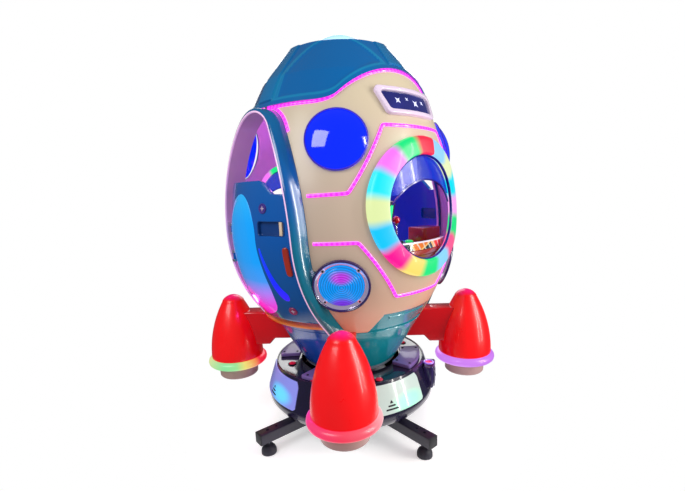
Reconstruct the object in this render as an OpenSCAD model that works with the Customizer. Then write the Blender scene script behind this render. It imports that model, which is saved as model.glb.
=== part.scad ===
// Space-capsule kiddie ride: an egg-shaped cabin with two half doors, two lit portholes
// and four rocket boosters, turned on a black base by a gear motor.
// +Z is up, -Y is the front of the cabin, and the origin is on the floor under its middle.
// All sizes are in millimetres.

/* [Cabin shell] */
// Widest radius of the egg
egg_r = 575; // [565:1:585]
// Height of the widest ring
egg_z = 1150; // [1140:1:1160]
// Radius of the curve above the widest ring
upper_r = 1400; // [1380:5:1420]
// Radius of the curve below the widest ring
lower_r = 820; // [810:2:830]
// Thickness of the glass-fibre shells
shell_t = 8; // [6:1:9]
// Height where the lower bowl starts
bowl_z = 420; // [418:1:424]
// Height of the joint between the cream shells and the lower bowl
seam_z = 655; // [650:1:660]

/* [Nose] */
// Height of the nose cap's edge at the sides
cap_z = 1710; // [1706:1:1714]
// Height of the nose cap's edge at the front and rear
cap_peak_z = 1860; // [1856:1:1864]
// Height of the flat top rim
rim_z = 2000; // [1995:1:2005]
// Radius of the flat top rim
rim_r = 275; // [270:1:280]
// Radius of the light dome on top
beacon_r = 182; // [175:1:190]
// Total height
top_z = 2100; // [2090:1:2110]

/* [Doorways] */
// Half width of the door surround, outside
door_half = 300; // [296:1:304]
// Height of the top of the door surround, outside
arch_top_z = 1700; // [1696:1:1702]
// Height where the straight sides end and the arch starts
arch_z = 1100; // [1090:1:1110]
// Wall of the door surround
surround_t = 20; // [16:1:22]
// How far the surround stands out from the shell
surround_out = 70; // [60:1:75]
// Height of the door sill
sill_z = 702; // [700:1:706]
// Height of the half door's top edge
door_top_z = 1385; // [1375:1:1390]

/* [Windows and lights] */
// Height of the porthole's centre
porthole_z = 1243; // [1238:1:1248]
// Radius of the porthole's clear hole
hole_r = 235; // [230:1:240]
// Outer radius of the lit porthole ring
ring_r = 315; // [310:1:320]
// How far the lit ring stands out
ring_out = 28; // [20:1:32]
// Height of the round dome windows
dome_z = 1540; // [1535:1:1545]
// Radius of the dome windows
dome_r = 135; // [130:1:138]
// Height of the headlights
lamp_z = 920; // [915:1:925]
// Outer radius of the headlights
lamp_r = 130; // [126:1:132]
// Width of the lit trim strips
strip_w = 13; // [10:1:15]

/* [Boosters] */
// Distance of a booster's axis from the turning axis
booster_reach = 673; // [668:1:678]
// Radius of a booster's shell at its base
booster_r = 148; // [144:1:150]
// Height of a booster's tip
booster_tip_z = 761; // [758:1:764]
// Height of a booster shell's lower edge
booster_z = 396; // [394:1:398]
// Outer radius of a booster's lit ring
booster_ring_r = 168; // [164:1:170]
// Height of the lowest point of a booster
booster_low_z = 276; // [270:1:285]
// Thickness of a fin
fin_t = 110; // [90:1:120]

/* [Base] */
// Distance of a leg's end from the turning axis
leg_reach = 622; // [615:1:630]
// Turn of the legs from the cabin's front, in degrees
leg_turn = -3; // [-5:1:0]
// Turn of the lit base panels from the cabin's front, in degrees
panel_turn = -15; // [-18:1:-12]
// Side of the square leg tubes
tube_w = 60; // [50:1:62]
// Height of the underside of the leg tubes
tube_z = 70; // [68:1:74]
// Distance of the levelling feet from the turning axis
foot_reach = 570; // [560:1:580]
// Widest radius of the base drum
drum_r = 478; // [470:1:480]
// Height of the black deck
deck_z = 385; // [383:1:386]
// Teeth of the large drive gear
gear_teeth = 72; // [72:4:72]
// Teeth of the motor's pinion
pinion_teeth = 18; // [18:1:18]
// Tooth size (module) of the drive gears
gear_module = 6; // [6:1:6]

/* [Hidden] */
$fn = 96;
eps = 0.4;                        // gap between parts that lie on each other
rest_gap = 0.1;                   // gap under parts that are bolted down
corners = [45, 135, 225, 315];    // turns of the boosters, windows and headlights
cone_a = 30;                      // slope of the straight lower part of the egg
upper_c = upper_r - egg_r;        // how far the upper curve's centre is past the axis
lower_c = lower_r - egg_r;
cap_out = 14;                     // how far the nose cap stands out from the egg
cap_bend_z = 1845;                // height where the cap turns into its straight nose
arch_r = 180;                     // radius of the arch's top
arch_top_c = arch_top_z - arch_r;
arch_rise = arch_top_c - arch_z;
side_r = (arch_rise^2 + door_half^2 - arch_r^2) / (2 * (door_half - arch_r));
side_c = side_r - door_half;
side_a = atan(arch_rise / side_c);   // angle where the side curve meets the top curve
hinge_x = 545;                    // the door's hinge axis
hinge_y = 262;
pin_r = 5;
hinge_levels = [1000, 1140];
hinge_h = 34;
plate_z = tube_z + tube_w;        // top of the leg tubes
base_z = plate_z + 8;             // top of the round base plate
base_plate_r = 330;
deck_r = 421;                     // the deck lies inside the drum's upper edge
hub_top = 400;                    // top of the turntable
race_r = 158;                     // radius of the ring of balls
ball_r = 9;
ball_z = base_z + 22;
gear_z = 246;
gear_h = 26;
pinion_reach = gear_module * (gear_teeth + pinion_teeth) / 2;
pinion_dir = 150;
box_dir = -60;                    // direction of the control box
lens_out = 42;                    // bulge of the dome windows
inlet_dir = 120;                  // direction of the power inlet
inlet_z = 216;
floor_r = 406;                    // radius of the cabin floor
shell_top = 1866;                 // top of the cream shells, inside the nose cap
coin_pin = [496 + 3, 2.5];        // reach and radius of the coin door's hinge
coin_low = 252;                   // lower and upper edge of the coin door
coin_high = 332;
stick = [60, -320, 1060];         // pivot of the joystick
button_at = [150, -330, 1055];    // underside of the dash button's head
pull_shift = 18;                  // how far the pull recess's floor is moved out from the egg
latch_turn = 21.2;                // turn of the latch from the middle of its door
fin_top = seam_z + 10 - eps;      // the fins end just under the door surrounds
arm_half = 88.9;                  // half length of the slip ring's drive arm

// Lines of the lit strips across the front and rear, in (x, z)
upper_line = [[-492, 1312], [-368, 1318], [-190, 1598], [190, 1598], [368, 1318], [492, 1312]];
lower_line = [[-500, 1112], [-345, 1112], [-151, 847], [151, 847], [345, 1112], [500, 1112]];

// Radius of the egg, offset outwards by o, at height z
function egg_at(z, o = 0) =
    z >= egg_z ? sqrt((upper_r + o)^2 - (z - egg_z)^2) - upper_c :
    z >= tangent_z(o) ? sqrt((lower_r + o)^2 - (egg_z - z)^2) - lower_c :
    tangent_r(o) - (tangent_z(o) - z) * tan(cone_a);
function tangent_r(o) = (lower_r + o) * cos(cone_a) - lower_c;
function tangent_z(o) = egg_z - (lower_r + o) * sin(cone_a);
function tilt_at(z) = z >= egg_z ? asin((z - egg_z) / upper_r) : -asin((egg_z - z) / lower_r);

// ---- shared shapes ----

// Right half of the egg's section, offset outwards by o, between two heights
module egg_half(o, low, high) intersection() {
    union() {
        intersection() {
            translate([-upper_c, egg_z]) circle(upper_r + o, $fn = 240);
            translate([0, egg_z]) square([egg_r + 50, 800]);
        }
        intersection() {
            translate([-lower_c, egg_z]) circle(lower_r + o, $fn = 240);
            translate([0, tangent_z(o)]) square([egg_r + 50, egg_z - tangent_z(o)]);
        }
        polygon([[0, 300], [egg_at(300, o), 300], [tangent_r(o), tangent_z(o)],
            [0, tangent_z(o)]]);
    }
    translate([0, low]) square([egg_r + 60, high - low]);
}

module egg_solid(o, low = 400, high = 1900) rotate_extrude() egg_half(o, low, high);

// Section of a skin on the egg, from offset o - t to offset o
module skin_half(o, t, low, high) difference() {
    egg_half(o, low, high);
    egg_half(o - t, low - 1, high + 1);
}

// Puts a child on the egg's skin, its +Z along the skin's outward normal
module on_skin(turn, z) rotate([0, 0, turn]) translate([egg_at(z), 0, z])
    rotate([0, 90 - tilt_at(z), 0]) children();

// Outline of the door surround in (y, z), grown by o
module arch_2d(o, low) {
    intersection() {
        translate([-door_half - 50, arch_z])
            square([2 * door_half + 100, (side_r + o) * sin(side_a)]);
        translate([-side_c, arch_z]) circle(side_r + o, $fn = 240);
        translate([side_c, arch_z]) circle(side_r + o, $fn = 240);
    }
    translate([0, arch_top_c]) circle(arch_r + o);
    translate([-door_half - o, low]) square([2 * (door_half + o), arch_z - low]);
}

// Runs a (y, z) outline along +X between two distances
module along_x(from, to) translate([from, 0, 0]) rotate([90, 0, 90])
    linear_extrude(to - from) children();

// Runs an (x, z) outline along -Y between two distances
module along_front(from, to) translate([0, -from, 0]) rotate([90, 0, 0])
    linear_extrude(to - from) children();

module both_sides() {
    children();
    mirror([1, 0, 0]) children();
}

module front_and_rear() {
    children();
    mirror([0, 1, 0]) children();
}

// The (x, z) area below the nose cap's curved edge, grown by o
module cap_edge_2d(o = 0) {
    rise = cap_peak_z - cap_z;
    half = 348;
    big_r = (half^2 + rise^2) / (2 * rise);
    big_z = cap_peak_z - big_r;
    fillet = 120;
    fillet_x = sqrt((big_r + fillet)^2 - (cap_z + fillet - big_z)^2);
    meet_z = big_z + (cap_z + fillet - big_z) * big_r / (big_r + fillet);
    intersection() {
        translate([0, big_z]) circle(big_r + o, $fn = 180);
        translate([-700, 1500]) square([1400, 500]);
    }
    translate([-700, 1500]) square([1400, cap_z + o - 1500]);
    difference() {
        translate([-fillet_x, 1500]) square([2 * fillet_x, meet_z + o - 1500]);
        for (s = [-1, 1]) translate([s * fillet_x, cap_z + fillet]) circle(fillet - o);
    }
}

// A strip of width w along the open line p, with mitred corners
function unit(v) = v / norm(v);
function side(p, i, w) = let (a = unit(p[min(i, len(p) - 2) + 1] - p[min(i, len(p) - 2)]),
    b = i == 0 ? a : unit(p[i] - p[i - 1]), n = unit([-a[1] - b[1], a[0] + b[0]]))
    p[i] + n * w / (n * [-a[1], a[0]]);
module strip_2d(p, w) polygon([for (i = [0:len(p) - 1]) side(p, i, w / 2),
    for (i = [len(p) - 1:-1:0]) side(p, i, -w / 2)]);

// The (x, z) outline of the coloured patch at the front and rear of the bowl
module patch_2d(o = 0) polygon([[-225 - o, 600], [-205 - o, seam_z], [-170 - o, 752 + o],
    [170 + o, 752 + o], [205 + o, seam_z], [225 + o, 600]]);

// Outline of a gear with straight-flanked teeth
module gear_2d(teeth) {
    pitch = teeth * gear_module / 2;
    half = 3.9;
    function at(r, w, i) = let (a = 360 * i / teeth, b = w / r * 180 / PI)
        [[r * cos(a - b), r * sin(a - b)], [r * cos(a + b), r * sin(a + b)]];
    function tooth(i) = let (root = at(pitch - 7.2, 6.3, i), tip = at(pitch + 5, half - 1.9, i))
        [root[0], tip[0], tip[1], root[1]];
    polygon([for (i = [0:teeth - 1]) each tooth(i)]);
}

// Right half of the section of the drum's outer wall, grown by o
module drum_half(o = 0) polygon([[0, base_z], [418 + o, base_z], [456 + o, 165],
    [drum_r + o, 200], [drum_r + o, 232], [426 + o, deck_z + 6], [0, deck_z + 6]]);

// ---- base ----

module base_frame() color("#26262c") rotate([0, 0, leg_turn]) difference() {
    union() {
        for (a = [0, 90]) rotate([0, 0, a]) translate([-leg_reach, -tube_w / 2, tube_z])
            cube([2 * leg_reach, tube_w, tube_w]);
        translate([0, 0, plate_z])
            cylinder(r = base_plate_r, h = base_z - plate_z - rest_gap);
    }
    for (a = [0, 90]) rotate([0, 0, a]) translate([-leg_reach - 1, -tube_w / 2 + 4, tube_z + 4])
        cube([2 * leg_reach + 2, tube_w - 8, tube_w - 8]);
    for (a = [0:90:270]) rotate([0, 0, a]) translate([foot_reach, 0, tube_z - 1])
        cylinder(r = 8.05, h = 6);
    translate([0, 0, plate_z - 6]) cylinder(r = 30, h = 20);
}

module tube_end_caps() color("#101014") rotate([0, 0, leg_turn]) for (a = [0:90:270])
    rotate([0, 0, a]) {
        translate([leg_reach, -tube_w / 2, tube_z]) cube([4, tube_w, tube_w]);
        translate([leg_reach - 16, -tube_w / 2 + 4 + eps, tube_z + 4 + eps])
            cube([16.5, tube_w - 8 - 2 * eps, tube_w - 8 - 2 * eps]);
    }

// Black skirt of the base, with a ledge that carries the deck
module drum_shell() color("#1b1a24") difference() {
    rotate_extrude() {
        difference() {
            drum_half();
            intersection() {
                drum_half(-6);
                translate([0, base_z + 5]) square([600, 400]);
            }
            translate([-1, 0]) square([base_plate_r - 8, 600]);
        }
        translate([400, deck_z - 12]) square([28, 7 - eps]);
    }
    rotate([0, 0, inlet_dir]) translate([440, 0, inlet_z]) rotate([0, 90, 0])
        cylinder(r = 18, h = 60);
}

module deck_plate() color("#14121c") translate([0, 0, deck_z - 5]) difference() {
    cylinder(r = deck_r, h = 5);
    translate([0, 0, -1]) cylinder(r = 285, h = 7);
}

// Four raised plates on the deck, between the lit panels
module deck_covers() color("#6a6480") for (i = [0:3])
    rotate([0, 0, panel_turn - 45 + 90 * i - 22]) rotate_extrude(angle = 44)
        translate([292, deck_z + rest_gap]) square([116, 21]);

module light_panels() color("#e9e9f2") for (i = [0:3])
    rotate([0, 0, panel_turn - 90 + 90 * i - 25]) rotate_extrude(angle = 50)
        polygon([[drum_r + eps, 236], [drum_r + 5 + eps, 236],
            [431 + 5 + eps, 376], [431 + eps, 376]]);

module bearing_outer_race() color("silver") rotate_extrude() difference() {
    translate([race_r + 2.5, base_z]) square([44, 40]);
    translate([race_r, ball_z]) circle(ball_r + 0.05);
}

module bearing_inner_race() color("silver") rotate_extrude() difference() {
    translate([race_r - 40, base_z + 2]) square([37.5, 42]);
    translate([race_r, ball_z]) circle(ball_r + 0.05);
}

module bearing_balls() color("gainsboro") for (i = [0:23]) rotate([0, 0, 15 * i])
    translate([race_r, 0, ball_z]) sphere(ball_r, $fn = 32);

// Worm gearbox with its motor lying beside it
module gear_motor() color("#3a4a5a") rotate([0, 0, pinion_dir]) translate([pinion_reach, 0, 0])
    difference() {
        union() {
            translate([-48, -50, base_z]) cube([90, 100, 88]);
            translate([0, 49, base_z + 48]) rotate([-90, 0, 0]) cylinder(r = 42, h = 150);
        }
        translate([0, 0, 190]) cylinder(r = 12.05, h = 60);
    }

module slip_ring_stator() color("#8a8f98") {
    translate([0, 0, base_z]) cylinder(r = 50, h = 8);
    translate([0, 0, base_z]) cylinder(r = 34, h = 160);
}

// Housing of the start button and the coin box, curved along the drum
module control_box() color("#23202e") {
    rotate([0, 0, box_dir - 7]) difference() {
        rotate_extrude(angle = 14) difference() {
            translate([400, 240]) square([96, 130]);
            drum_half(eps);
        }
        rotate([0, 0, 7]) translate([462, 0, 340]) cylinder(r = 19.1, h = 40);
        rotate([0, 0, 3.6]) rotate_extrude(angle = 6.8) translate([479, 254])
            square([30, 76]);
    }
    rotate([0, 0, box_dir - 4]) for (z = [coin_low - eps - 7, coin_high + eps]) {
        translate([coin_pin[0], 0, z]) cylinder(r = coin_pin[1], h = 7);
        translate([494, -coin_pin[1], z]) cube([5, 2 * coin_pin[1], 7]);
    }
}

module power_inlet() color("#0c0c10") rotate([0, 0, inlet_dir]) translate([0, 0, inlet_z]) {
    translate([450, 0, 0]) rotate([0, 90, 0]) cylinder(r = 17.5, h = 33);
    translate([drum_r + 1, 0, 0]) rotate([0, 90, 0]) cylinder(r = 25, h = 5);
}

module power_supply() color("#9aa0a8") rotate([0, 0, 250])
    translate([326, -70, base_z + 5]) cube([66, 140, 52]);

// Bolt heads on the round base plate and the bearing
module base_bolts() color("#b8bcc4") for (i = [0:7]) rotate([0, 0, 45 * i + 10]) {
    translate([186, 0, base_z + 40]) cylinder(r = 7, h = 6, $fn = 6);
    rotate([0, 0, 20]) translate([309, 0, base_z]) cylinder(r = 7, h = 6, $fn = 6);
}

// Levelling foot: rubber bell, threaded stud and lock nut
module levelling_foot(a) color("#17171b") rotate([0, 0, leg_turn + a])
    translate([foot_reach, 0, 0]) {
        rotate_extrude() intersection() {
            union() {
                translate([0, 12]) circle(40);
                translate([0, 0]) square([40, 12]);
                translate([0, 40]) square([15, 14]);
            }
            square([60, 54]);
        }
        translate([0, 0, 50]) cylinder(r = 8, h = 62);
        translate([0, 0, tube_z - 10]) cylinder(r = 13, h = 10, $fn = 6);
    }

module foot_1() levelling_foot(0);
module foot_2() levelling_foot(90);
module foot_3() levelling_foot(180);
module foot_4() levelling_foot(270);

// Pinion on the gearbox shaft, with one tooth gap towards the large gear
module drive_pinion() color("#c8ccd2") rotate([0, 0, pinion_dir])
    translate([pinion_reach, 0, 0]) {
        translate([0, 0, gear_z]) rotate([0, 0, 180 + 180 / pinion_teeth])
            linear_extrude(gear_h) gear_2d(pinion_teeth);
        translate([0, 0, 192]) cylinder(r = 12, h = gear_z + gear_h - 192);
    }

// Curved coin-box door on the outer face of the control box
module coin_door() color("#b9b6c8") {
    rotate([0, 0, box_dir - 4]) {
        rotate_extrude(angle = 8) translate([496 + eps, coin_low])
            square([2.6, coin_high - coin_low]);
        translate([coin_pin[0], 0, coin_low]) cylinder(r = coin_pin[1], h = coin_high - coin_low);
    }
    rotate([0, 0, box_dir + 1.5]) translate([498, 0, 292]) rotate([0, 90, 0])
        cylinder(r = 8, h = 4);
}

module start_button() color("#ff5a8a") rotate([0, 0, box_dir]) translate([462, 0, 0]) {
    translate([0, 0, 346]) cylinder(r = 19, h = 26);
    translate([0, 0, 371]) cylinder(r1 = 17, r2 = 15, h = 5);
}

// ---- turning group ----

module turntable_hub() color("#4c525c") rotate_extrude() {
    translate([90, base_z + 44]) square([58, 12]);
    translate([90, base_z + 44]) square([15, hub_top - base_z - 44]);
    translate([90, gear_z - 10]) square([50, 10]);
    translate([90, hub_top - 12]) square([172, 12]);
}

module ring_gear() color("#aeb4bc") translate([0, 0, gear_z]) rotate([0, 0, pinion_dir])
    difference() {
        linear_extrude(gear_h) gear_2d(gear_teeth);
        translate([0, 0, -1]) cylinder(r = 105 + eps, h = gear_h + 2);
        for (i = [0:5]) rotate([0, 0, 60 * i + 30]) translate([160, 0, -1])
            cylinder(r = 26, h = gear_h + 2);
    }

module slip_ring_rotor() color("#c9a24a") difference() {
    union() {
        translate([0, 0, 236]) cylinder(r = 56, h = 44);
        translate([-arm_half, -10, gear_z]) cube([2 * arm_half, 20, 20]);
    }
    translate([0, 0, 230]) cylinder(r = 34.08, h = 60);
}

// Four posts and crossed beams that carry the cabin floor
module cabin_frame() color("#5a606a") {
    for (x = [-1, 1]) for (y = [-1, 1]) translate([x * 140 - 20, y * 140 - 20, hub_top])
        cube([40, 40, 690 - hub_top]);
    for (y = [-1, 1]) translate([-350, y * 140 - 20, 650]) cube([700, 40, 40]);
    for (x = [-1, 1]) translate([x * 140 - 20, -121, 650]) cube([40, 242, 40]);
}

module cabin_floor() color("#b98a92") translate([0, 0, 690]) cylinder(r = floor_r, h = 12);

// The (y, z) area between a surround's feet, shrunk by o
module doorway_foot_2d(o) let (half = door_half - surround_t - o)
    translate([-half, 600]) square([2 * half, 100]);

// Coloured bowl under the cabin, with recessed patches at the front and rear
module lower_bowl() color("#0f7f86") {
    rotate_extrude() {
        skin_half(0, shell_t, bowl_z, seam_z - eps);
        translate([240, bowl_z - 6]) square([38, 8]);
        translate([240, hub_top]) square([20, bowl_z - hub_top]);
    }
    intersection() {
        rotate_extrude() skin_half(-6, 6, seam_z - 30, 760);
        front_and_rear() along_front(200, 600) patch_2d(-eps);
    }
    intersection() {
        rotate_extrude() skin_half(0, shell_t, seam_z - 1, sill_z - 12);
        both_sides() along_x(200, 600) doorway_foot_2d(eps);
    }
}

// The openings that both shells share
module shell_cuts() {
    both_sides() along_x(180, 700) {
        arch_2d(eps, fin_top);
        doorway_foot_2d(0);
    }
    front_and_rear() {
        along_front(300, 700) translate([0, porthole_z]) circle(hole_r + 22);
        along_front(250, 700) patch_2d(eps);
    }
    for (a = corners) {
        on_skin(a, dome_z) translate([0, 0, -60]) cylinder(r = dome_r - 3, h = 120);
        on_skin(a, lamp_z) translate([0, 0, -60]) cylinder(r = lamp_r - 10, h = 120);
    }
}

module front_shell() color("#dccbb2") difference() {
    rotate([0, 0, 180]) rotate_extrude(angle = 180) skin_half(0, shell_t, seam_z, shell_top);
    shell_cuts();
}

module rear_shell() color("#dccbb2") difference() {
    rotate_extrude(angle = 180) skin_half(0, shell_t, seam_z, shell_top);
    shell_cuts();
}

// Section of the nose cap's solid form, grown by o
module cap_half(o) {
    bend = egg_at(cap_bend_z, cap_out);
    egg_half(cap_out + o, 1600, cap_bend_z);
    polygon([[0, cap_bend_z - 1], [bend + o, cap_bend_z - 1], [bend + o, cap_bend_z],
        [rim_r + o, rim_z + o], [0, rim_z + o]]);
}

// Nose cap with four raised ribs, its lower edge arched at the front and rear
module nose_cap() color("#0b6ea0") difference() {
    union() {
        rotate_extrude() difference() {
            cap_half(0);
            intersection() {
                cap_half(-shell_t);
                translate([0, 1600]) square([700, rim_z - shell_t - 1600]);
            }
            translate([0, 1500]) square([700, 200]);
        }
        for (a = [0:90:270]) rotate([0, 0, a - 7]) rotate_extrude(angle = 14)
            intersection() {
                difference() {
                    cap_half(8);
                    cap_half(-2);
                }
                translate([rim_r, cap_z + 26]) square([400, 250]);
            }
    }
    along_front(-700, 700) cap_edge_2d();
}

module nose_light() color("#d8ecff") rotate_extrude() {
    rise = top_z - rim_z - 6;
    big_r = (beacon_r^2 + rise^2) / (2 * rise);
    difference() {
        intersection() {
            translate([0, top_z - big_r]) circle(big_r, $fn = 180);
            translate([0, rim_z + 6]) square([beacon_r + 20, 80]);
        }
        intersection() {
            translate([0, top_z - big_r]) circle(big_r - 4, $fn = 180);
            translate([0, rim_z]) square([beacon_r - 6, 80]);
        }
    }
    difference() {
        translate([0, rim_z + 0.1]) square([beacon_r + 8, 6]);
        translate([0, rim_z]) square([beacon_r - 8, 8]);
    }
}

// Raised band round a doorway, following the egg's curve
module door_surround() color("#0d7fa6") {
    difference() {
        intersection() {
            along_x(150, 700) difference() {
                arch_2d(0, seam_z + 10);
                arch_2d(-surround_t, 500);
            }
            translate([surround_out, 0, 0]) egg_solid(0);
        }
        translate([-26, 0, 0]) egg_solid(-shell_t);
    }
    for (z = hinge_levels) translate([hinge_x, hinge_y, z]) {
        translate([0, 0, -1]) cylinder(r = pin_r, h = hinge_h + 2);
        for (dz = [-12, hinge_h]) translate([0, 0, dz]) {
            cylinder(r = 10, h = 12);
            translate([-4, 0, 0]) cube([8, door_half - hinge_y - surround_t / 2, 12]);
        }
    }
}

module left_door_surround() mirror([1, 0, 0]) door_surround();
module right_door_surround() door_surround();

// Orange threshold strips at the foot of both doorways
module door_sills() color("#d9822b") both_sides() difference() {
    translate([200, -door_half + surround_t + eps, sill_z - 12])
        cube([400, 2 * (door_half - surround_t - eps), 14]);
    difference() {
        translate([0, -400, sill_z - 20]) cube([800, 800, 40]);
        translate([40, 0, 0]) egg_solid(0);
    }
    translate([0, 0, sill_z - 30]) cylinder(r = floor_r + eps, h = 60);
}

// Lit strips along the nose cap's edge and across the front and rear
module trim_lights() color("#ff4fd8") difference() {
    intersection() {
        rotate_extrude() skin_half(6, 6 - eps, 800, 1880);
        front_and_rear() along_front(120, 700) {
            difference() {
                cap_edge_2d(-1);
                cap_edge_2d(-1 - strip_w);
            }
            strip_2d(upper_line, strip_w);
            strip_2d(lower_line, strip_w);
        }
    }
    both_sides() along_x(150, 800) arch_2d(2, 600);
}

// Lit ring round a porthole, following the egg's curve
module ring_light() color("#f2f7e8") difference() {
    intersection() {
        along_front(300, 700) translate([0, porthole_z]) difference() {
            circle(ring_r, $fn = 120);
            circle(hole_r, $fn = 120);
        }
        egg_solid(ring_out, 800, 1700);
    }
    difference() {
        egg_solid(eps, 700, 1900);
        intersection() {
            along_front(200, 800) translate([0, porthole_z]) circle(hole_r + 21);
            difference() {
                egg_solid(10, 700, 1900);
                egg_solid(-20, 600, 1950);
            }
        }
    }
}

module front_ring_light() ring_light();
module rear_ring_light() mirror([0, 1, 0]) ring_light();

// Tinted crescents over the top of both portholes
module porthole_visors() color("#2b6cff", 0.5) front_and_rear() difference() {
    intersection() {
        along_front(300, 700) translate([0, porthole_z]) difference() {
            circle(hole_r - 1, $fn = 120);
            translate([0, -130]) circle(255, $fn = 120);
        }
        egg_solid(-4, 800, 1700);
    }
    egg_solid(-8, 700, 1900);
}

module dome_windows() color("#0a3cff") for (a = corners) on_skin(a, dome_z) rotate_extrude() {
    rim = dome_r - 5;
    big_r = (rim^2 + lens_out^2) / (2 * lens_out);
    difference() {
        translate([0, lens_out - big_r]) circle(big_r, $fn = 180);
        translate([0, lens_out - big_r]) circle(big_r - 4, $fn = 180);
        translate([-600, -900]) square([600, 1000]);
        translate([-1, -900]) square([600, 900]);
    }
    translate([rim - 4, -26]) square([4, 27]);
    translate([rim - 1, 0]) square([6, 4]);
}

// Chromed headlight bowls with their rims
module headlight_bezels() color("#c9c4dc") difference() {
    for (a = corners) on_skin(a, lamp_z) rotate_extrude() {
        polygon([[lamp_r - 12, -24], [lamp_r - 12, 9], [lamp_r - 8, 14], [lamp_r - 2, 12],
            [lamp_r, 4], [lamp_r, 1], [lamp_r - 10.5, 1], [lamp_r - 10.5, -24]]);
        polygon([[lamp_r - 11, -26], [lamp_r - 11, -22], [104, -6], [98, -6], [98, -20],
            [60, -40], [0, -44], [0, -48], [62, -44], [100, -24]]);
    }
    both_sides() along_x(150, 700) arch_2d(eps, 640);
}

module headlight_lenses() color("#3fd0ff") for (a = corners) on_skin(a, lamp_z)
    rotate_extrude() intersection() {
        difference() {
            translate([0, -280]) circle(294, $fn = 180);
            translate([0, -280]) circle(290, $fn = 180);
        }
        translate([0, -5.5]) square([103, 60]);
    }

// Outline of the sign over the front porthole, grown by o
module sign_2d(o) polygon([[-186 - o, 1763 + o], [-156 - o * 0.8, 1641 - o],
    [156 + o * 0.8, 1641 - o], [186 + o, 1763 + o]]);

module display_bezel() color("#cfc4dc") difference() {
    intersection() {
        along_front(250, 600) difference() {
            sign_2d(0);
            sign_2d(-20);
        }
        egg_solid(22, 1500, 1900);
    }
    egg_solid(eps, 1400, 1950);
}

module display_screen() color("#141a3a") difference() {
    intersection() {
        along_front(250, 600) sign_2d(-20 - eps);
        egg_solid(12, 1500, 1900);
    }
    egg_solid(eps, 1400, 1950);
}

// ---- boosters ----

// Right half of a booster shell's section, shrunk by t
module booster_half(t) {
    side = 660;
    tip = 72;
    c = side - booster_r;
    intersection() {
        translate([-c, booster_z]) circle(side - t, $fn = 240);
        translate([0, booster_z]) square([booster_r + 20, booster_tip_z - 37 - booster_z]);
    }
    intersection() {
        translate([0, booster_tip_z - tip]) circle(tip - t);
        translate([0, booster_tip_z - 37.2]) square([booster_r, 60]);
    }
}

module at_boosters() for (a = corners) rotate([0, 0, a]) translate([booster_reach, 0, 0])
    children();

module booster_shells() color("#e80a12") at_boosters() rotate_extrude() difference() {
    booster_half(0);
    booster_half(5);
    translate([0, 300]) square([booster_r - 5, booster_z - 290]);
}

module booster_rings() color("#ff9ab0") at_boosters() rotate_extrude() {
    mid = booster_z - 25;
    intersection() {
        translate([booster_ring_r - 30, mid]) circle(30);
        translate([booster_r - 14, booster_z - 47]) square([60, 46.6]);
    }
    translate([106, booster_z - 47]) square([booster_r - 14 - 105, 4]);
}

// Cups that close the boosters' undersides
module booster_caps() color("#a8a0a8") at_boosters() rotate_extrude() {
    high = booster_z - 48;
    difference() {
        polygon([[0, booster_low_z], [104, booster_low_z], [110, booster_low_z + 6],
            [113, high], [0, high]]);
        translate([0, booster_low_z + 6]) square([102, high - booster_low_z]);
    }
}

// Box-section fins between the cabin and the boosters
module fin_2d(t) polygon([[300, fin_top - t], [640, fin_top - t], [640, 470 + t],
    [462 + t, 470 + t], [430 + t, 505 + t], [300, 505 + t]]);

module fins() color("#d3101a") for (a = corners) rotate([0, 0, a]) difference() {
    translate([0, fin_t / 2, 0]) rotate([90, 0, 0]) linear_extrude(fin_t) fin_2d(0);
    translate([0, fin_t / 2 - 6, 0]) rotate([90, 0, 0]) linear_extrude(fin_t - 12)
        fin_2d(6);
    egg_solid(eps, 380, 900);
    translate([booster_reach, 0, 0]) rotate_extrude() booster_half(-eps);
}

// ---- cabin interior ----

// Instrument shelf across the front, on a hollow pedestal, with the joystick's ring
// Dashboard with its pedestal, an arm rest and a low curved board behind the porthole
module dash_console() color("#a8322c") difference() {
    union() {
        intersection() {
            union() {
                translate([-265, -560, 702]) cube([530, 230, 322]);
                translate([-440, -560, 1022]) cube([880, 290, 28]);
            }
            egg_solid(-shell_t - 18, 690, 1100);
        }
        translate([stick[0], stick[1], 1040]) cylinder(r = 36, h = 28);
        translate([190, -405, 1040]) cube([140, 120, 88]);
        intersection() {
            difference() {
                egg_solid(-shell_t - 18, 1040, 1085);
                egg_solid(-shell_t - 32, 1030, 1090);
            }
            translate([-216, -600, 1040]) cube([432, 200, 45]);
        }
    }
    translate([-259, -600, 701]) cube([518, 264, 315]);
    translate([button_at[0], button_at[1], 1000]) cylinder(r = 14.1, h = 80);
    translate([stick[0], stick[1], 1010]) cylinder(r = 24, h = 80);
    translate(stick) rotate([0, 90, 0]) cylinder(r = 3.05, h = 64, center = true);
}

module monitor() color("#10142c") translate([-150, -352, 1050]) rotate([0, 0, 18]) {
    translate([-40, -30, 0]) cube([80, 60, 10]);
    rotate([12, 0, 0]) {
        translate([-20, -8, 4]) cube([40, 24, 60]);
        translate([-140, -18, 40]) cube([280, 36, 190]);
    }
}

// Hollow bench with a low backrest panel
module seat_bench() color("#8e2a3c") intersection() {
    union() {
        difference() {
            translate([-284, 120, 702]) cube([568, 330, 226]);
            translate([-276, 128, 701]) cube([552, 340, 219]);
        }
        translate([-250, 404, 926]) cube([500, 16, 254]);
    }
    egg_solid(-shell_t - 16, 690, 1300);
}

module seat_cushion() color("#23439a") translate([-240, 128, 928 + eps]) cube([480, 226, 62]);

module seat_back() color("#23439a") translate([-230, 360, 994]) cube([460, 44 - eps, 178]);

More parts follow.
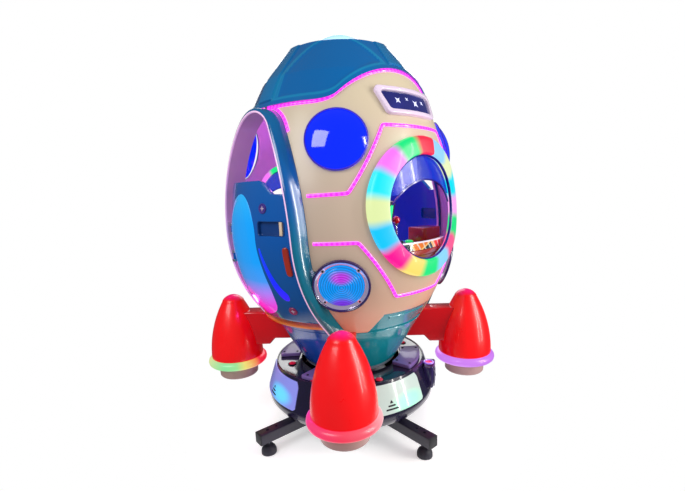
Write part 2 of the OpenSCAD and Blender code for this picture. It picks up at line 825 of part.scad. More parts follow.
// Pivot ring of the joystick, rolling on two side pins
module joystick_gimbal() color("#3a3d46") translate(stick) difference() {
    union() {
        cylinder(r = 17, h = 12, center = true);
        rotate([0, 90, 0]) cylinder(r = 3, h = 62, center = true);
    }
    cylinder(r = 12, h = 20, center = true);
    rotate([90, 0, 0]) cylinder(r = 3.05, h = 40, center = true);
}

module joystick_lever() color("#d8dbe2") translate(stick) {
    translate([0, 0, -9]) cylinder(r = 5, h = 112);
    rotate([90, 0, 0]) cylinder(r = 3, h = 33, center = true);
    translate([0, 0, 116]) sphere(20);
}

module dash_button() color("#3fe06a") translate(button_at) {
    translate([0, 0, -24]) cylinder(r = 14, h = 24);
    translate([0, 0, -1]) cylinder(r = 22, h = 12);
}

// ---- doors ----

// Outline of a half door in (y, z): low at the front edge, high at the hinge edge
module door_2d() intersection() {
    union() {
        polygon([[-268, 724], [248, 724], [248, 1150], [226, 1172], [226, door_top_z - 60],
            [166, door_top_z], [-100, door_top_z], [-170, door_top_z - 60],
            [-268, door_top_z - 60]]);
        intersection() {
            translate([166, door_top_z - 60]) circle(60);
            translate([166, door_top_z - 60]) square(70);
        }
    }
    arch_2d(-surround_t - 6, 700);
}

// Half door with a pull recess, and knuckles that turn on the surround's pins
module half_door() color("#0b5fa8") difference() {
    union() {
        difference() {
            intersection() {
                along_x(200, 700) door_2d();
                translate([32, 0, 0]) egg_solid(0, 600, 1500);
            }
            translate([10, 0, 0]) egg_solid(0, 500, 1600);
            difference() {
                along_x(400, 700) translate([-230, 1145]) square([145, 66]);
                translate([pull_shift, 0, 0]) egg_solid(0, 1000, 1300);
            }
        }
        for (z = hinge_levels) translate([hinge_x, hinge_y, z + 0.5]) {
            cylinder(r = 9, h = hinge_h - 1);
            translate([-24, -30, 0]) cube([24, 30, hinge_h - 1]);
        }
    }
    for (z = hinge_levels) translate([hinge_x, hinge_y, z - 1])
        cylinder(r = pin_r + 0.05, h = hinge_h + 2);
}

module left_door() mirror([1, 0, 0]) half_door();
module right_door() half_door();

// Thumb latch lying on the floor of the pull recess, sliding along it
module latch() color("#d8c8b0") translate([pull_shift, 0, 0]) rotate([0, 0, -latch_turn])
    translate([egg_r + 0.5, -8, 1148]) cube([12, 16, 60]);
module left_latch() mirror([1, 0, 0]) latch();
module right_latch() latch();

base_frame();
tube_end_caps();
drum_shell();
deck_plate();
deck_covers();
light_panels();
bearing_outer_race();
bearing_balls();
gear_motor();
slip_ring_stator();
control_box();
power_inlet();
power_supply();
base_bolts();
foot_1();
foot_2();
foot_3();
foot_4();
drive_pinion();
coin_door();
start_button();
turntable_hub();
bearing_inner_race();
ring_gear();
slip_ring_rotor();
cabin_frame();
cabin_floor();
lower_bowl();
front_shell();
rear_shell();
nose_cap();
nose_light();
left_door_surround();
right_door_surround();
door_sills();
trim_lights();
front_ring_light();
rear_ring_light();
porthole_visors();
dome_windows();
headlight_bezels();
headlight_lenses();
display_bezel();
display_screen();
fins();
booster_shells();
booster_rings();
booster_caps();
dash_console();
monitor();
seat_bench();
seat_cushion();
seat_back();
joystick_gimbal();
joystick_lever();
dash_button();
left_door();
right_door();
left_latch();
right_latch();
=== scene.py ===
# Looks for the rotating capsule ride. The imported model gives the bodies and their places;
# this script adds the visible pieces, their materials, the lights and the camera, in metres.
import math

import bmesh
import bpy
from mathutils import Matrix, Vector


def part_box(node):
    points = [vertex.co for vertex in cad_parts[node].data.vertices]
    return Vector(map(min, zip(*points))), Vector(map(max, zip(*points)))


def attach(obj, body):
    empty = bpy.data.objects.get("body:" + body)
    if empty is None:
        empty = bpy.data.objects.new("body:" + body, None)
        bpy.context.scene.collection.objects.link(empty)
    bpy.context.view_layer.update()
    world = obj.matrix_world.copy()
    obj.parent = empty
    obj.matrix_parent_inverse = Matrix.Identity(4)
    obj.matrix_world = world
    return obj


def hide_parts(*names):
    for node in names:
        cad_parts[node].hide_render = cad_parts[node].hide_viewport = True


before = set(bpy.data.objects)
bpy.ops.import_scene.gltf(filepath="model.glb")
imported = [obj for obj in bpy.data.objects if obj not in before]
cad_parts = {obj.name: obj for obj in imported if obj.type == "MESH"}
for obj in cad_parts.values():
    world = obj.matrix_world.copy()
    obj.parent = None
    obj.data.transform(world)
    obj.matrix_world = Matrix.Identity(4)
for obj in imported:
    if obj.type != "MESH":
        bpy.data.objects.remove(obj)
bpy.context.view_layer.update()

UP = Vector((0, 0, 1))

# ---- sizes shared by several pieces ----
EGG_R = 0.575            # widest radius of the egg, and its height
EGG_Z = 1.150
UPPER_R = 1.400          # curve above the widest ring
LOWER_R = 0.820          # curve below it
CONE = math.radians(30)  # slope of the straight lower part
SHELL = 0.008
BOWL_Z = 0.420
SEAM_Z = 0.655
SHELL_TOP = 1.866
SILL_FOOT = 0.700          # the bowl's raised edge under each doorway
PORT_Z = 1.243           # porthole's centre, clear hole and lit ring
HOLE_R = 0.235
RING_R = 0.315
DOME_Z = 1.540
DOME_R = 0.135
LAMP_Z = 0.920
LAMP_R = 0.130
DOOR_HALF = 0.300        # door surround's outline
ARCH_Z = 1.100
ARCH_TOP = 1.700
ARCH_R = 0.180
SURROUND_T = 0.020
SURROUND_OUT = 0.070
CAP_EDGE = 1.710         # nose cap: edge at the sides, peak at the front, bend and rim
CAP_PEAK = 1.860
CAP_OUT = 0.014
CAP_BEND = 1.845
RIM_Z = 2.000
RIM_R = 0.275
BEACON_R = 0.182
TOP_Z = 2.100
BOOSTER_REACH = 0.673
BOOSTER_R = 0.148
BOOSTER_TIP = 0.761
BOOSTER_Z = 0.396
DRUM_R = 0.478
LEG_TURN = -3
PANEL_TURN = -15
CORNERS = (45, 135, 225, 315)
STICK = Vector((0.060, -0.320, 1.060))
FOOT_REACH = 0.570
HINGE = Vector((0.545, 0.262, 0))
KNUCKLES = (1.000, 1.140)


def turn_of(degrees):
    """Unit vector at an angle from +X, seen from above."""
    return Vector((math.cos(math.radians(degrees)), math.sin(math.radians(degrees)), 0))


def turned(degrees, axis="Z"):
    return Matrix.Rotation(math.radians(degrees), 4, axis)


def axes(x, y, z, origin=Vector()):
    """The matrix that carries the X, Y and Z directions to x, y and z."""
    return Matrix.Translation(origin) @ Matrix((x, y, z)).transposed().to_4x4()


def smooth_step(low, high, x):
    t = min(1.0, max(0.0, (x - low) / (high - low)))
    return t * t * (3 - 2 * t)


def steps(low, high, step):
    """Evenly spaced values from low to high, about step apart."""
    count = max(1, math.ceil((high - low) / step))
    return [low + (high - low) * i / count for i in range(count + 1)]


# ---- the egg's surface ----
def egg_r(z, out=0.0):
    """Radius of the egg at a height, grown by out."""
    if z >= EGG_Z:
        return math.sqrt((UPPER_R + out) ** 2 - (z - EGG_Z) ** 2) - (UPPER_R - EGG_R)
    bend_z = EGG_Z - (LOWER_R + out) * math.sin(CONE)
    if z >= bend_z:
        return math.sqrt((LOWER_R + out) ** 2 - (EGG_Z - z) ** 2) - (LOWER_R - EGG_R)
    bend_r = (LOWER_R + out) * math.cos(CONE) - (LOWER_R - EGG_R)
    return bend_r - (bend_z - z) * math.tan(CONE)


def egg_tilt(z):
    """Angle of the egg's outward normal above the horizon."""
    if z >= EGG_Z:
        return math.asin((z - EGG_Z) / UPPER_R)
    return -min(CONE, math.asin(min(1.0, (EGG_Z - z) / LOWER_R)))


def skin(turn, z):
    """Point and outward normal of the egg, turn radians from the front towards +X."""
    tilt = egg_tilt(z)
    out = Vector((math.sin(turn), -math.cos(turn), 0))
    return out * egg_r(z) + UP * z, out * math.cos(tilt) + UP * math.sin(tilt)


def front_skin(x, z):
    return skin(math.asin(max(-1.0, min(1.0, x / egg_r(z)))), z)


def front_at(x, z, out):
    """Point in front of the cabin on the egg grown by out, at that x and z."""
    return Vector((x, -math.sqrt(max(0.0, egg_r(z, out) ** 2 - x * x)), z))


def side_skin(y, z, shift=0.0):
    """Point and normal on the right side of the egg moved by shift along +X."""
    point, normal = skin(math.acos(max(-1.0, min(1.0, -y / egg_r(z)))), z)
    return point + Vector((shift, 0, 0)), normal


def skin_matrix(turn, z):
    """Local axes on the skin: X to the right, Y up the skin and Z outwards."""
    point, normal = skin(turn, z)
    right = Vector((math.cos(turn), math.sin(turn), 0))
    return axes(right, normal.cross(right), normal, point)


CORNER_TURNS = [math.radians(a + 90) for a in CORNERS]


# ---- mesh building ----
class Shape:
    """A mesh in the making: points, faces, corner UVs and a material number per face."""

    def __init__(self):
        self.points, self.faces, self.uvs, self.mats = [], [], [], []

    def face(self, loop, uv=None, mat=0):
        loop = tuple(loop)
        self.faces.append(loop)
        self.uvs.append(uv or [(0.0, 0.0)] * len(loop))
        self.mats.append(mat)

    def grid(self, rows, mat=0, around=False, along=False, caps=False, u=None):
        """Joins rows of points with quads. around closes each row and along joins last to first;
        caps closes the first and last rows."""
        start, count, wide = len(self.points), len(rows), len(rows[0])
        for row in rows:
            self.points.extend(Vector(p) for p in row)
        u = u or [i / max(1, count - 1 + along) for i in range(count + 1)]
        v = [j / max(1, wide - 1 + around) for j in range(wide + 1)]
        for i in range(count - 1 + along):
            for j in range(wide - 1 + around):
                k, m = (i + 1) % count, (j + 1) % wide
                loop = [start + i * wide + j, start + k * wide + j,
                        start + k * wide + m, start + i * wide + m]
                uv = [(u[i], v[j]), (u[i + 1], v[j]), (u[i + 1], v[j + 1]), (u[i], v[j + 1])]
                self.face(loop, uv, mat[j] if isinstance(mat, list) else mat)
        if caps:
            last = start + wide * (count - 1)
            self.face(range(start, start + wide))
            self.face(reversed(range(last, last + wide)))
        return self

    def add(self, other, matrix=Matrix()):
        """Takes in a copy of another shape, moved by matrix."""
        start = len(self.points)
        self.points += [matrix @ p for p in other.points]
        for loop, uv, mat in zip(other.faces, other.uvs, other.mats):
            self.face([start + k for k in loop], uv, mat)
        return self

    def moved(self, matrix):
        return Shape().add(self, matrix)


def mirrored(shape, axis):
    """A copy mirrored through the plane across that axis (0 for X, 1 for Y)."""
    copy = Shape()
    scale = Matrix.Scale(-1, 4, Vector((axis == 0, axis == 1, 0)))
    copy.points = [scale @ p for p in shape.points]
    copy.faces = [tuple(reversed(f)) for f in shape.faces]
    copy.uvs = [list(reversed(uv)) for uv in shape.uvs]
    copy.mats = list(shape.mats)
    return copy


def same(shape):
    return shape


def place_object(name, data):
    obj = bpy.data.objects.new(name, data)
    bpy.context.scene.collection.objects.link(obj)
    return obj


def piece(name, shape, materials, body, slot, replaces=(), sharp=38):
    """Turns a shape into an object that rides on a body."""
    mesh = bpy.data.meshes.new(name)
    mesh.from_pydata(shape.points, [], shape.faces)
    layer = mesh.uv_layers.new(name="UVMap")
    layer.data.foreach_set("uv", [c for uv in shape.uvs for corner in uv for c in corner])
    mesh.polygons.foreach_set("material_index", shape.mats)
    work = bmesh.new()
    work.from_mesh(mesh)
    bmesh.ops.remove_doubles(work, verts=work.verts, dist=2e-6)
    bmesh.ops.dissolve_degenerate(work, dist=1e-6, edges=work.edges)
    bmesh.ops.recalc_face_normals(work, faces=work.faces)
    work.to_mesh(mesh)
    work.free()
    mesh.shade_smooth()
    mesh.set_sharp_from_angle(angle=math.radians(sharp))
    obj = place_object(name, mesh)
    for material in materials if isinstance(materials, (list, tuple)) else [materials]:
        mesh.materials.append(material)
    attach(obj, body)
    if replaces:
        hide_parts(*([replaces] if isinstance(replaces, str) else replaces))
    return obj


def four(places, parts):
    """Pieces for each (name, shape, material, slot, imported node, sharp angle) at each place. The
    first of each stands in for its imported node."""
    for number, matrix in enumerate(places, 1):
        for name, shape, material, slot, node, *sharp in parts:
            piece(f"{name}_{number}", shape.moved(matrix), material, "capsule", slot,
                  node if number == 1 else (), *sharp)


def rounded(corners, radius, count=4, closed=True):
    """An outline with each corner turned into an arc. radius is one value or one per corner."""
    result, n = [], len(corners)
    for i, corner in enumerate(corners):
        r = radius[i] if isinstance(radius, (list, tuple)) else radius
        p = Vector(corner)
        if r <= 0 or (not closed and i in (0, n - 1)):
            result.append((p.x, p.y))
            continue
        a, b = Vector(corners[i - 1]) - p, Vector(corners[(i + 1) % n]) - p
        half = a.angle(b) / 2
        if half > math.radians(88):
            result.append((p.x, p.y))
            continue
        cut = min(r / math.tan(half), 0.49 * a.length, 0.49 * b.length)
        r = cut * math.tan(half)
        centre = p + (a.normalized() + b.normalized()).normalized() * r / math.sin(half)
        first = p + a.normalized() * cut - centre
        last = p + b.normalized() * cut - centre
        start = math.atan2(first.y, first.x)
        sweep = math.atan2(last.y, last.x) - start
        sweep = (sweep + math.pi) % (2 * math.pi) - math.pi
        for k in range(count + 1):
            angle = start + sweep * k / count
            result.append((centre.x + r * math.cos(angle), centre.y + r * math.sin(angle)))
    return result


def rectangle(x_low, y_low, x_high, y_high, radius=0, count=4):
    return rounded([(x_low, y_low), (x_high, y_low), (x_high, y_high), (x_low, y_high)], radius, count)


def ring_points(sides, *radii, start=0.0):
    """Points round the origin, at each of the radii in turn: a polygon, or a star with two."""
    return [(radii[k % len(radii)] * math.cos(start + 2 * math.pi * k / sides),
             radii[k % len(radii)] * math.sin(start + 2 * math.pi * k / sides)) for k in range(sides)]


def smooth_outline(points, count=6):
    """A closed Catmull-Rom curve through a few points."""
    result, n = [], len(points)
    for i in range(n):
        p0, p1, p2, p3 = (Vector(points[(i + k - 1) % n]) for k in range(4))
        for k in range(count):
            t = k / count
            result.append(tuple(0.5 * (2 * p1 + (p2 - p0) * t + (2 * p0 - 5 * p1 + 4 * p2 - p3) * t * t
                                       + (3 * p1 - p0 - 3 * p2 + p3) * t ** 3)))
    return result


def revolve(profile, count=96):
    """Turns a closed (r, z) outline about the Z axis."""
    outs = [turn_of(360 * i / count) for i in range(count)]
    rows = [[out * r + UP * z for r, z in profile] for out in outs]
    return Shape().grid(rows, around=True, along=True)


def swept(path, profile, closed=False):
    """Carries a closed (side, out) outline along a path of (point, normal)."""
    rows, run, n = [], [0.0], len(path)
    for i, (point, normal) in enumerate(path):
        before = point - path[i - 1][0] if i or closed else path[1][0] - point
        after = path[(i + 1) % n][0] - point if i < n - 1 or closed else before
        ahead = (before.normalized() + after.normalized()).normalized()
        side = ahead.cross(normal).normalized()
        mitre = 1 / max(0.5, ahead.dot(after.normalized()))
        rows.append([point + side * s * mitre + normal * o for s, o in profile])
        run.append(run[-1] + after.length)
    return Shape().grid(rows, around=True, along=closed, caps=not closed, u=run)


def slab(outline, low, high, lip, count=3):
    """A plate with the (x, y) outline, from low to high, with rounded edges."""
    n = len(outline)
    points = [Vector(p) for p in outline]
    area = sum(points[i].x * points[(i + 1) % n].y - points[(i + 1) % n].x * points[i].y
               for i in range(n))
    inward = []
    for i in range(n):
        a, b = points[i] - points[i - 1], points[(i + 1) % n] - points[i]
        along = (a.normalized() + b.normalized()).normalized()
        scale = 1 / max(0.6, along.dot(b.normalized()))
        side = Vector((-along.y, along.x)) * scale
        inward.append(side if area > 0 else -side)
    levels = [(lip * (1 - math.sin(math.radians(90 * k / count))),
               lip * (1 - math.cos(math.radians(90 * k / count)))) for k in range(count + 1)]
    rings = [(inset, low + rise) for inset, rise in levels]
    rings += [(inset, high - rise) for inset, rise in reversed(levels)]
    rows = [[Vector((*(p + s * inset), z)) for p, s in zip(points, inward)] for inset, z in rings]
    return Shape().grid(rows, around=True, caps=True)


def trimmed(us, vs, keep):
    """Quads over a grid in (u, v), cut along the line where keep(u, v) is 0."""
    du, dv, wide = us[1] - us[0], vs[1] - vs[0], len(us)
    spots = [(u, v) for v in vs for u in us]
    values = [keep(u, v) for u, v in spots]
    probe, reach = 0.05, 0.35
    for i, (u, v) in enumerate(spots):
        gu = (keep(u + probe * du, v) - values[i]) / probe if 0 < i % wide < wide - 1 else 0
        gv = (keep(u, v + probe * dv) - values[i]) / probe if 0 < i // wide < len(vs) - 1 else 0
        size = gu * gu + gv * gv
        if size > 1e-18:
            su, sv = -values[i] * gu / size, -values[i] * gv / size
            if max(abs(su), abs(sv)) < reach:
                spots[i] = (u + su * du, v + sv * dv)
                values[i] = 0.0
    cuts = {}

    def cut(a, b):
        key = (min(a, b), max(a, b))
        if key not in cuts:
            inside, outside = (a, b) if values[a] < 0 else (b, a)
            low, high = 0.0, 1.0
            for _ in range(12):
                middle = (low + high) / 2
                spot = [p + (q - p) * middle for p, q in zip(spots[inside], spots[outside])]
                if keep(*spot) < 0:
                    low = middle
                else:
                    high = middle
            cuts[key] = len(spots)
            spots.append(tuple(spot))
            values.append(0.0)
        return cuts[key]

    faces = []
    for j in range(len(vs) - 1):
        for i in range(wide - 1):
            k = j * wide + i
            quad = [k, k + 1, k + 1 + wide, k + wide]
            if all(values[q] >= 0 for q in quad):
                continue
            loop = []
            for a, b in zip(quad, quad[1:] + quad[:1]):
                if values[a] <= 0:
                    loop.append(a)
                if values[a] * values[b] < 0:
                    loop.append(cut(a, b))
            if len(loop) >= 3:
                faces.append(loop)
    used = sorted({k for loop in faces for k in loop})
    number = {k: i for i, k in enumerate(used)}
    return [spots[k] for k in used], [[number[k] for k in loop] for loop in faces]


def panel(us, vs, place, keep, depth, lip=0.002, height=None, back=0):
    """A curved plate with a trimmed outline and rounded edges.

    place(u, v) gives a point and its outward normal, keep(u, v) is negative where the plate
    is, and height(u, v) raises its face. The back lies depth below the surface."""
    spots, faces = trimmed(us, vs, lambda u, v: keep(u, v) + lip)
    placed = [place(*s) for s in spots]
    rise = [height(*s) if height else 0.0 for s in spots]
    shape, n = Shape(), len(spots)
    shape.points.extend(p + normal * h for (p, normal), h in zip(placed, rise))
    shape.points.extend(p - normal * depth for p, normal in placed)
    uses = {}
    for loop in faces:
        uv = [spots[k] for k in loop]
        shape.face(loop, uv)
        shape.face([n + k for k in reversed(loop)], uv[::-1], back)
        for a, b in zip(loop, loop[1:] + loop[:1]):
            uses[(a, b)] = True
    edges = [(a, b) for a, b in uses if (b, a) not in uses]
    outward = {}
    for a, b in edges:
        along = (placed[b][0] - placed[a][0]).normalized()
        for k in (a, b):
            outward.setdefault(k, []).append(along.cross(placed[k][1]).normalized())
    angles = [math.radians(a) for a in (30, 60, 90)]
    rings = {}
    for k, sides in outward.items():
        mean = sum(sides, Vector()).normalized()
        mean *= 1 / max(0.6, mean.dot(sides[0]))
        point, normal = placed[k]
        top = point + normal * rise[k]
        ring = [k]
        for a in angles:
            ring.append(len(shape.points))
            shape.points.append(top + mean * lip * math.sin(a) - normal * lip * (1 - math.cos(a)))
        ring.append(len(shape.points))
        shape.points.append(point + mean * lip - normal * depth)
        ring.append(n + k)
        rings[k] = ring
    for a, b in edges:
        for i in range(len(angles) + 2):
            shape.face([rings[b][i], rings[a][i], rings[a][i + 1], rings[b][i + 1]],
                       [spots[b], spots[a], spots[a], spots[b]])
    return shape


def polygon_distance(outline):
    """A function that gives the distance to a closed outline, negative inside it."""
    edges = list(zip(outline, outline[1:] + outline[:1]))

    def distance(x, y):
        best, inside = 1e9, False
        for (ax, ay), (bx, by) in edges:
            ex, ey, px, py = bx - ax, by - ay, x - ax, y - ay
            t = max(0.0, min(1.0, (px * ex + py * ey) / max(1e-18, ex * ex + ey * ey)))
            best = min(best, (px - ex * t) ** 2 + (py - ey * t) ** 2)
            if (ay > y) != (by > y) and x < ex * (y - ay) / (by - ay) + ax:
                inside = not inside
        return -math.sqrt(best) if inside else math.sqrt(best)
    return distance


# ---- materials ----
def make(tree, kind, inputs=None, **settings):
    node = tree.nodes.new(kind)
    for key, value in settings.items():
        setattr(node, key, value)
    for key, value in (inputs or {}).items():
        if isinstance(value, bpy.types.NodeSocket):
            tree.links.new(value, node.inputs[key])
        else:
            node.inputs[key].default_value = value
    return node


def calc(tree, operation, *values):
    return make(tree, "ShaderNodeMath", dict(enumerate(values)), operation=operation).outputs[0]


def scaled(tree, colour, factor):
    return make(tree, "ShaderNodeVectorMath", {0: colour, "Scale": factor}, operation="SCALE"
                ).outputs["Vector"]


def length(tree, vector):
    return make(tree, "ShaderNodeVectorMath", {0: vector}, operation="LENGTH").outputs["Value"]


def mixed(tree, factor, first, second):
    return make(tree, "ShaderNodeMix", {0: factor, 6: first, 7: second}, data_type="RGBA").outputs[2]


def rescaled(tree, value, **ends):
    """Maps a value from one range to another: From_Min, From_Max, To_Min and To_Max."""
    inputs = {"Value": value, **{key.replace("_", " "): end for key, end in ends.items()}}
    return make(tree, "ShaderNodeMapRange", inputs).outputs["Result"]


def axis_of(tree, vector, axis):
    return make(tree, "ShaderNodeSeparateXYZ", {"Vector": vector}).outputs[axis]


def stretched(tree, place, scale, turn=0.0):
    return make(tree, "ShaderNodeMapping", {"Vector": place.outputs["Object"], "Scale": scale,
                                            "Rotation": (0, turn, 0)}).outputs["Vector"]


def ramp(tree, factor, stops, mode="LINEAR"):
    """A colour ramp with (place, colour) stops."""
    node = make(tree, "ShaderNodeValToRGB", {"Fac": factor})
    node.color_ramp.interpolation = mode
    elements = node.color_ramp.elements
    while len(elements) > len(stops):
        elements.remove(elements[-1])
    while len(elements) < len(stops):
        elements.new(1.0)
    for element, (place, colour) in zip(elements, stops):
        element.position = place
        element.color = (*colour, 1.0)
    return node.outputs["Color"]


def shade(colour, factor):
    return tuple(min(1.0, c * factor) for c in colour)


def start_material(name):
    material = bpy.data.materials.new(name)
    material.use_nodes = True
    tree = material.node_tree
    tree.nodes.clear()
    place = make(tree, "ShaderNodeTexCoord")
    return material, tree, place


def noise(tree, place, scale, detail=3.0, rough=0.5):
    return make(tree, "ShaderNodeTexNoise",
                {"Vector": place, "Scale": scale, "Detail": detail, "Roughness": rough}
                ).outputs["Fac"]


WORN_LIGHT = 1.45        # how much lighter a worn edge is


def surface(name, colour, rough=0.3, coat=0.0, metal=0.0, mottle=0.08, patches=5.0, grain=220.0,
            bump=0.02, wear=0.25, stretch=(1, 1, 1), glow=None, glow_strength=0.0, alpha=1.0,
            paint=None, relief=None, sheen=0.0, coat_rough=0.06):
    """A procedural surface: mottled colour, uneven gloss, fine grain and worn edges."""
    material, tree, place = start_material(name)
    spot = stretched(tree, place, stretch)
    cloud = noise(tree, spot, patches, 4.0)
    if paint:
        base = scaled(tree, paint(tree, place), rescaled(tree, cloud, To_Min=1 - mottle,
                                                         To_Max=1 + mottle))
    else:
        base = ramp(tree, cloud, [(0.3, shade(colour, 1 - mottle)), (0.7, shade(colour, 1 + mottle))])
    if wear:
        edge = ramp(tree, make(tree, "ShaderNodeNewGeometry").outputs["Pointiness"],
                    [(0.52, (0, 0, 0)), (0.62, (wear, wear, wear))])
        base = mixed(tree, edge, base, scaled(tree, base, WORN_LIGHT))
    fine = noise(tree, spot, grain, 2.0)
    gloss = rescaled(tree, noise(tree, spot, patches * 3, 5.0, 0.6), To_Min=rough * 0.75,
                     To_Max=rough * 1.3)
    height = relief(tree, place) if relief else fine
    normal = make(tree, "ShaderNodeBump", {"Strength": 0.6 if relief else 0.35, "Distance": bump / 20,
                                           "Height": height}).outputs["Normal"]
    inputs = {"Base Color": base, "Roughness": gloss, "Metallic": metal, "Normal": normal,
              "Coat Weight": coat, "Coat Roughness": coat_rough,
              "Alpha": alpha(tree, place) if callable(alpha) else alpha,
              "Sheen Weight": sheen}
    if glow:
        inputs["Emission Strength"] = glow_strength
        inputs["Emission Color"] = glow(tree, place) if callable(glow) else (*glow, 1)
    shader = make(tree, "ShaderNodeBsdfPrincipled", inputs)
    make(tree, "ShaderNodeOutputMaterial", {"Surface": shader.outputs[0]})
    return material


def across_and_dots(edge, core, dots, pitch):
    """Glow of a lit strip: pale sides, a deep core and a row of lamps along it."""
    def colour(tree, place):
        along, across = (axis_of(tree, place.outputs["UV"], k) for k in "XY")
        wave = calc(tree, "SINE", calc(tree, "MULTIPLY", along, 2 * math.pi / pitch))
        lamps = ramp(tree, rescaled(tree, wave, From_Min=-1), [(0.2, core), (0.8, dots)])
        middle = rescaled(tree, calc(tree, "PINGPONG", across, 0.5), From_Min=0.10, From_Max=0.24)
        return mixed(tree, middle, (*edge, 1), lamps)
    return colour


def along_uv(stops):
    """Colours by the first UV coordinate."""
    def colour(tree, place):
        return ramp(tree, axis_of(tree, place.outputs["UV"], "X"), stops)
    return colour


def by_height(stops):
    """Colours by height: stops are (height in metres, colour)."""
    low, high = stops[0][0], stops[-1][0]

    def colour(tree, place):
        level = rescaled(tree, axis_of(tree, place.outputs["Object"], "Z"), From_Min=low,
                         From_Max=high)
        return ramp(tree, level, [((h - low) / (high - low), c) for h, c in stops])
    return colour


def srgb(*levels):
    """Linear colour from display levels of 0 to 255."""
    return tuple(((v / 255 + 0.055) / 1.055) ** 2.4 if v > 10 else v / 3295 for v in levels)


def glow_spots(base, spots, scale):
    """A base glow with soft round spots: (u, v, radius, colour) in UV units."""
    def colour(tree, place):
        result = None
        for u, v, radius, tint in spots:
            off = make(tree, "ShaderNodeVectorMath", {0: place.outputs["UV"], 1: (u, v, 0)},
                       operation="SUBTRACT").outputs["Vector"]
            off = make(tree, "ShaderNodeVectorMath", {0: off, 1: (*scale, 0)},
                       operation="MULTIPLY").outputs["Vector"]
            near = ramp(tree, calc(tree, "DIVIDE", length(tree, off), 2 * radius),
                        [(0.0, (1, 1, 1)), (0.35, (0.9, 0.9, 0.9)), (1.0, (0, 0, 0))], "EASE")
            result = mixed(tree, near, result or (*base, 1), (*tint, 1))
        return result
    return colour


def ringed(pitch, base, spots, scale):
    """A spotted glow broken up by the lens's rings."""
    def colour(tree, place):
        plain = glow_spots(base, spots, scale)(tree, place)
        light = rescaled(tree, rings_relief(pitch)(tree, place), To_Min=0.62, To_Max=1.12)
        return scaled(tree, plain, light)
    return colour


def front_or_side(front, side):
    """One colour on the front and rear of the cabin, another on its door sides."""
    def colour(tree, place):
        x, y = (calc(tree, "ABSOLUTE", axis_of(tree, place.outputs["Object"], k)) for k in "XY")
        level = rescaled(tree, calc(tree, "SUBTRACT", x, y), From_Min=-0.08, From_Max=0.10)
        return ramp(tree, level, [(0.0, front), (1.0, side)])
    return colour


def rings_relief(pitch):
    """Height of concentric ribs round the UV origin."""
    def height(tree, place):
        far = length(tree, place.outputs["UV"])
        return calc(tree, "SINE", calc(tree, "MULTIPLY", far, 2 * math.pi / pitch))
    return height


def apron_pattern(tree, place):
    """Generic printed panel: slanted diamonds in orange, red and dark teal with pale streaks."""
    spot = stretched(tree, place, (7.0, 7.0, 9.0), 0.6)
    cells = make(tree, "ShaderNodeTexVoronoi", {"Vector": spot, "Scale": 1.0, "Randomness": 0.55},
                 distance="CHEBYCHEV")
    blocks = ramp(tree, cells.outputs["Distance"],
                  [(0.0, srgb(220, 40, 20)), (0.22, srgb(235, 120, 40)), (0.34, srgb(250, 190, 110)),
                   (0.42, srgb(30, 50, 60)), (0.70, srgb(20, 34, 44))], "CONSTANT")
    streaks = make(tree, "ShaderNodeTexWave", {"Vector": spot, "Scale": 1.3, "Distortion": 2.0})
    pale = ramp(tree, streaks.outputs["Fac"], [(0.80, (0, 0, 0)), (0.92, (0.7, 0.7, 0.7))])
    return mixed(tree, pale, blocks, (*srgb(225, 225, 215), 1))


def star_screen(tree, place):
    """Generic lit picture: a night-blue sky with a few soft stars."""
    spot = place.outputs["Object"]
    stars = make(tree, "ShaderNodeTexVoronoi", {"Vector": spot, "Scale": 46.0}).outputs["Distance"]
    sky = ramp(tree, noise(tree, spot, 9.0), [(0.35, srgb(20, 24, 90)), (0.65, srgb(60, 70, 170))])
    lit = ramp(tree, stars, [(0.08, (1, 1, 1)), (0.16, (0, 0, 0))])
    return mixed(tree, lit, sky, (*srgb(235, 240, 255), 1))


def dotted_floor(tree, place):
    """Height of round studs on a rubber mat."""
    spot = stretched(tree, place, (40, 40, 0))
    studs = make(tree, "ShaderNodeTexVoronoi", {"Vector": spot, "Scale": 1.0, "Randomness": 0.0})
    return ramp(tree, studs.outputs["Distance"], [(0.22, (1, 1, 1)), (0.34, (0, 0, 0))])


def leather_relief(tree, place):
    """Height of fine vinyl grain."""
    grain = make(tree, "ShaderNodeTexVoronoi", {"Vector": place.outputs["Object"], "Scale": 420.0})
    return grain.outputs["Distance"]


# ---- camera and light ----
def set_camera():
    """Looks at the cabin from its front left, a little above the middle."""
    turn, pitch, roll = math.radians(-43.0), math.radians(11.379), math.radians(-1.892)
    away = Vector((math.sin(turn), -math.cos(turn), 0))
    ahead = -away * math.cos(pitch) - UP * math.sin(pitch)
    right = ahead.cross(UP).normalized()
    top = right.cross(ahead)
    side = right * math.cos(roll) + top * math.sin(roll)
    above = -right * math.sin(roll) + top * math.cos(roll)
    data = bpy.data.cameras.new("camera")
    data.sensor_width, data.lens = 36.0, 21.151
    data.shift_x, data.shift_y = -0.0159, 0.0395
    camera = place_object("camera", data)
    place = away * 2.255 + UP * 1.325 + right * 0.035
    camera.matrix_world = axes(side, above, -ahead, place)
    bpy.context.scene.camera = camera
    return away, right


def area_light(name, place, target, width, height, power, colour=(1, 1, 1)):
    data = bpy.data.lights.new(name, "AREA")
    data.shape, data.size, data.size_y = "RECTANGLE", width, height
    data.energy, data.color = power, colour
    light = place_object(name, data)
    light.location = place
    light.rotation_euler = (Vector(target) - Vector(place)).to_track_quat("-Z", "Y").to_euler()


def point_light(name, place, power, colour, size=0.05):
    data = bpy.data.lights.new(name, "POINT")
    data.energy, data.color, data.shadow_soft_size = power, colour, size
    place_object(name, data).location = place


